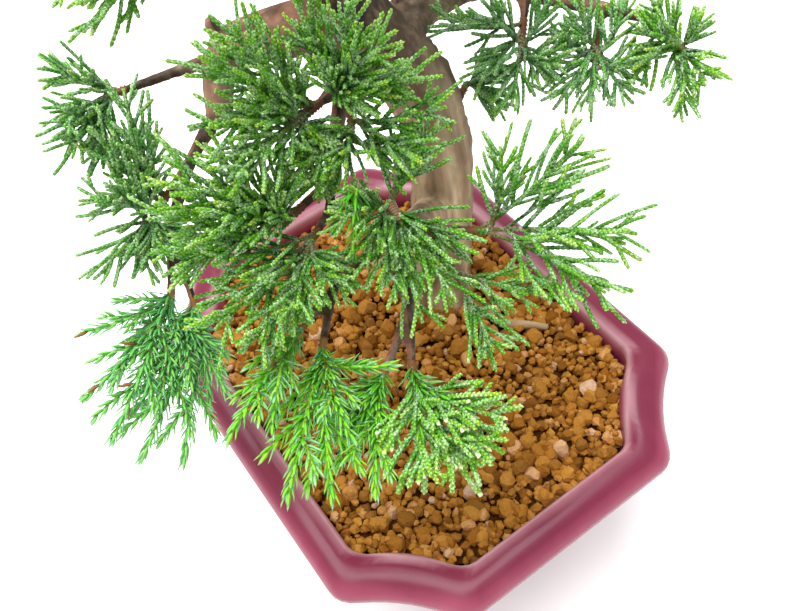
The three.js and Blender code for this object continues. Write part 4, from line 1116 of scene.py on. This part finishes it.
def scale_look(name="scale leaves", cool=0.0):
    """Scale-like leaves with pale margins, bluer where they are older or shaded, with painted shade in the
    waists between the scales and painted glints on their raised tips.
    """
    look = Look(name, Roughness=0.42, Specular_IOR_Level=0.1)
    fresh, rim, woody = look.growth()
    patchy = look.vary(fresh, look.noise(120, 2), 0.6)
    green = look.ramp(patchy, [(0.0, (0.035, 0.18, 0.003)), (0.3, (0.165, 0.57, 0.02)),
                               (0.6, (0.37, 0.85, 0.04)), (1.0, (0.62, 0.92, 0.05))])
    green = look.mix(cool, green, (0.24, 0.58, 0.3)) if cool else green
    # Painted shade: the waists between the raised scale tips are darkened towards a deep green.
    hollow = look.times(look.math("SUBTRACT", 1.0, rim, True), 0.8)
    green = look.mix(hollow, green, (0.006, 0.05, 0.001))
    cells = look.add("TexVoronoi", Vector=look.place(), Scale=900.0)
    cells.feature = "DISTANCE_TO_EDGE"
    # Pale flecks: partly the scales' own pale margins and bloom, and partly painted glints that whiten the
    # raised scale tips.
    margin = look.ramp(cells.outputs["Distance"], [(0.0, 1), (0.07, 0.6), (0.16, 0)])
    bloom = look.ramp(look.noise(300, 3), [(0.42, 0.1), (0.6, 1)])
    tips = look.times(look.math("POWER", rim, 2.5), 0.6, True)
    pale = look.times(look.math("ADD", look.times(margin, 0.65), tips), bloom, True)
    flecks_and_glints = look.mix(look.times(pale, 0.72), green, (0.84, 0.97, 0.76))
    cut_end = look.math("SUBTRACT", rim, 1.0, True)
    flecks_and_glints = look.mix(cut_end, flecks_and_glints, (0.85, 0.78, 0.5))
    look.link(look.mix(woody, flecks_and_glints, (0.2, 0.085, 0.04)), "Base Color")
    look.bump(margin, 0.3, 0.0003)
    return look.material


def needle_look(name="young needles", cool=0.0):
    """Bright needles with a pale band along the hollow side, and a few dead ones."""
    look = Look(name, Roughness=0.4, Specular_IOR_Level=0.14)
    fresh, band, dead = look.growth()
    green = look.ramp(fresh, [(0.0, (0.04, 0.24, 0.01)), (0.4, (0.13, 0.5, 0.03)),
                              (0.75, (0.26, 0.64, 0.04)), (1.0, (0.34, 0.7, 0.04))])
    green = look.mix(cool, green, (0.14, 0.42, 0.24)) if cool else green
    stripe = look.math("POWER", band, 0.9)
    striped = look.mix(stripe, green, (0.52, 0.82, 0.68))
    look.link(look.mix(dead, striped, (0.3, 0.13, 0.04)), "Base Color")
    look.bump(look.noise(1600, 2), 0.15, 0.0002)
    return look.material


def stick_look():
    look = Look("dry wood", Roughness=0.88)
    _, _, dark = look.growth()
    streaks = look.noise(300, 4, stretch=(0.2, 0.2, 1))
    grain = look.ramp(streaks, [(0.3, (0.3, 0.18, 0.09)), (0.7, (0.6, 0.43, 0.25))])
    look.link(look.mix(dark, grain, (0.03, 0.02, 0.012)), "Base Color")
    look.bump(look.noise(700, 4), 0.4, 0.0004)
    return look.material


def plastic_look():
    look = Look("black mesh plastic", Roughness=0.55)
    black = look.ramp(look.noise(400, 3), [(0.3, (0.012, 0.012, 0.013)), (0.7, (0.03, 0.03, 0.032))])
    look.link(black, "Base Color")
    look.bump(look.noise(900, 2), 0.15, 0.0003)
    return look.material


def make_floor():
    # The floor glows a little: painted light that lifts the pot's shadow on it.
    look = Look("pale floor", Roughness=0.6, Emission_Color=(1, 1, 1), Emission_Strength=0.3)
    look.link(look.ramp(look.noise(3, 2), [(0.0, 0.92), (1.0, 0.95)]), "Base Color")
    half = 20.0
    mesh = bpy.data.meshes.new("floor")
    corners = [(-half, -half, 0), (half, -half, 0), (half, half, 0), (-half, half, 0)]
    mesh.from_pydata(corners, [], [(0, 1, 2, 3)])
    mesh.materials.append(look.material)
    floor = link_object("floor", mesh)


def pose(side, up, back, place):
    """A matrix that puts a light or a camera, which look down their own -Z, in its place."""
    columns = np.column_stack([side, up, back, place])
    return Matrix((*(tuple(row) for row in columns), (0, 0, 0, 1)))


def set_light():
    """A bright, even studio, and a broad lamp high above that gives a soft shadow."""
    world = bpy.data.worlds.new("studio")
    bpy.context.scene.world = world
    world.use_nodes = True
    background = world.node_tree.nodes["Background"]
    background.inputs["Color"].default_value = (1.0, 1.0, 1.0, 1)
    background.inputs["Strength"].default_value = 0.78
    data = bpy.data.lights.new("key", "AREA")
    data.shape = "DISK"
    data.size = 1.0
    data.energy = 16
    place, target = np.array((-0.17, -0.07, 0.95)), np.array((0, 0, 0.1))
    back = unit(place - target)
    side = unit(np.cross(UP, back))
    link_object("key", data).matrix_world = pose(side, np.cross(back, side), back, place)


def set_camera():
    """The photograph's viewpoint, from the pot's rim in it."""
    right = np.array((0.5769, 0.8099, -0.1065))
    down = np.array((0.6123, -0.5150, -0.5999))
    ahead = np.array((-0.5406, 0.2809, -0.7930))
    place = np.array((145.56, -75.42, 293.9)) * MM
    data = bpy.data.cameras.new("camera")
    data.sensor_fit = "HORIZONTAL"
    data.sensor_width = 36
    data.lens = 40.08
    data.clip_start = 0.01
    camera = link_object("camera", data)
    camera.matrix_world = pose(right, -down, -ahead, place)
    bpy.context.scene.camera = camera


set_camera()
set_light()
make_floor()
make_pot(glaze_look())
make_soil(akadama_look())
make_wood(bark_look())
make_stick(stick_look())
plastic = plastic_look()
for node in ("drain_mesh_left", "drain_mesh_right"):
    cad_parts[node].data.materials.clear()
    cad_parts[node].data.materials.append(plastic)
near_looks = scale_look(), needle_look()
far_looks = scale_look("far scale leaves", 0.28), needle_look("far young needles", 0.35)
for number, (bunch, twig_rows, arm_rows) in enumerate(BUNCHES):
    make_bunch(number, bunch, twig_rows, arm_rows, *(far_looks if bunch in FAR_BUNCHES else near_looks))

bpy.context.scene.view_settings.view_transform = "Standard"
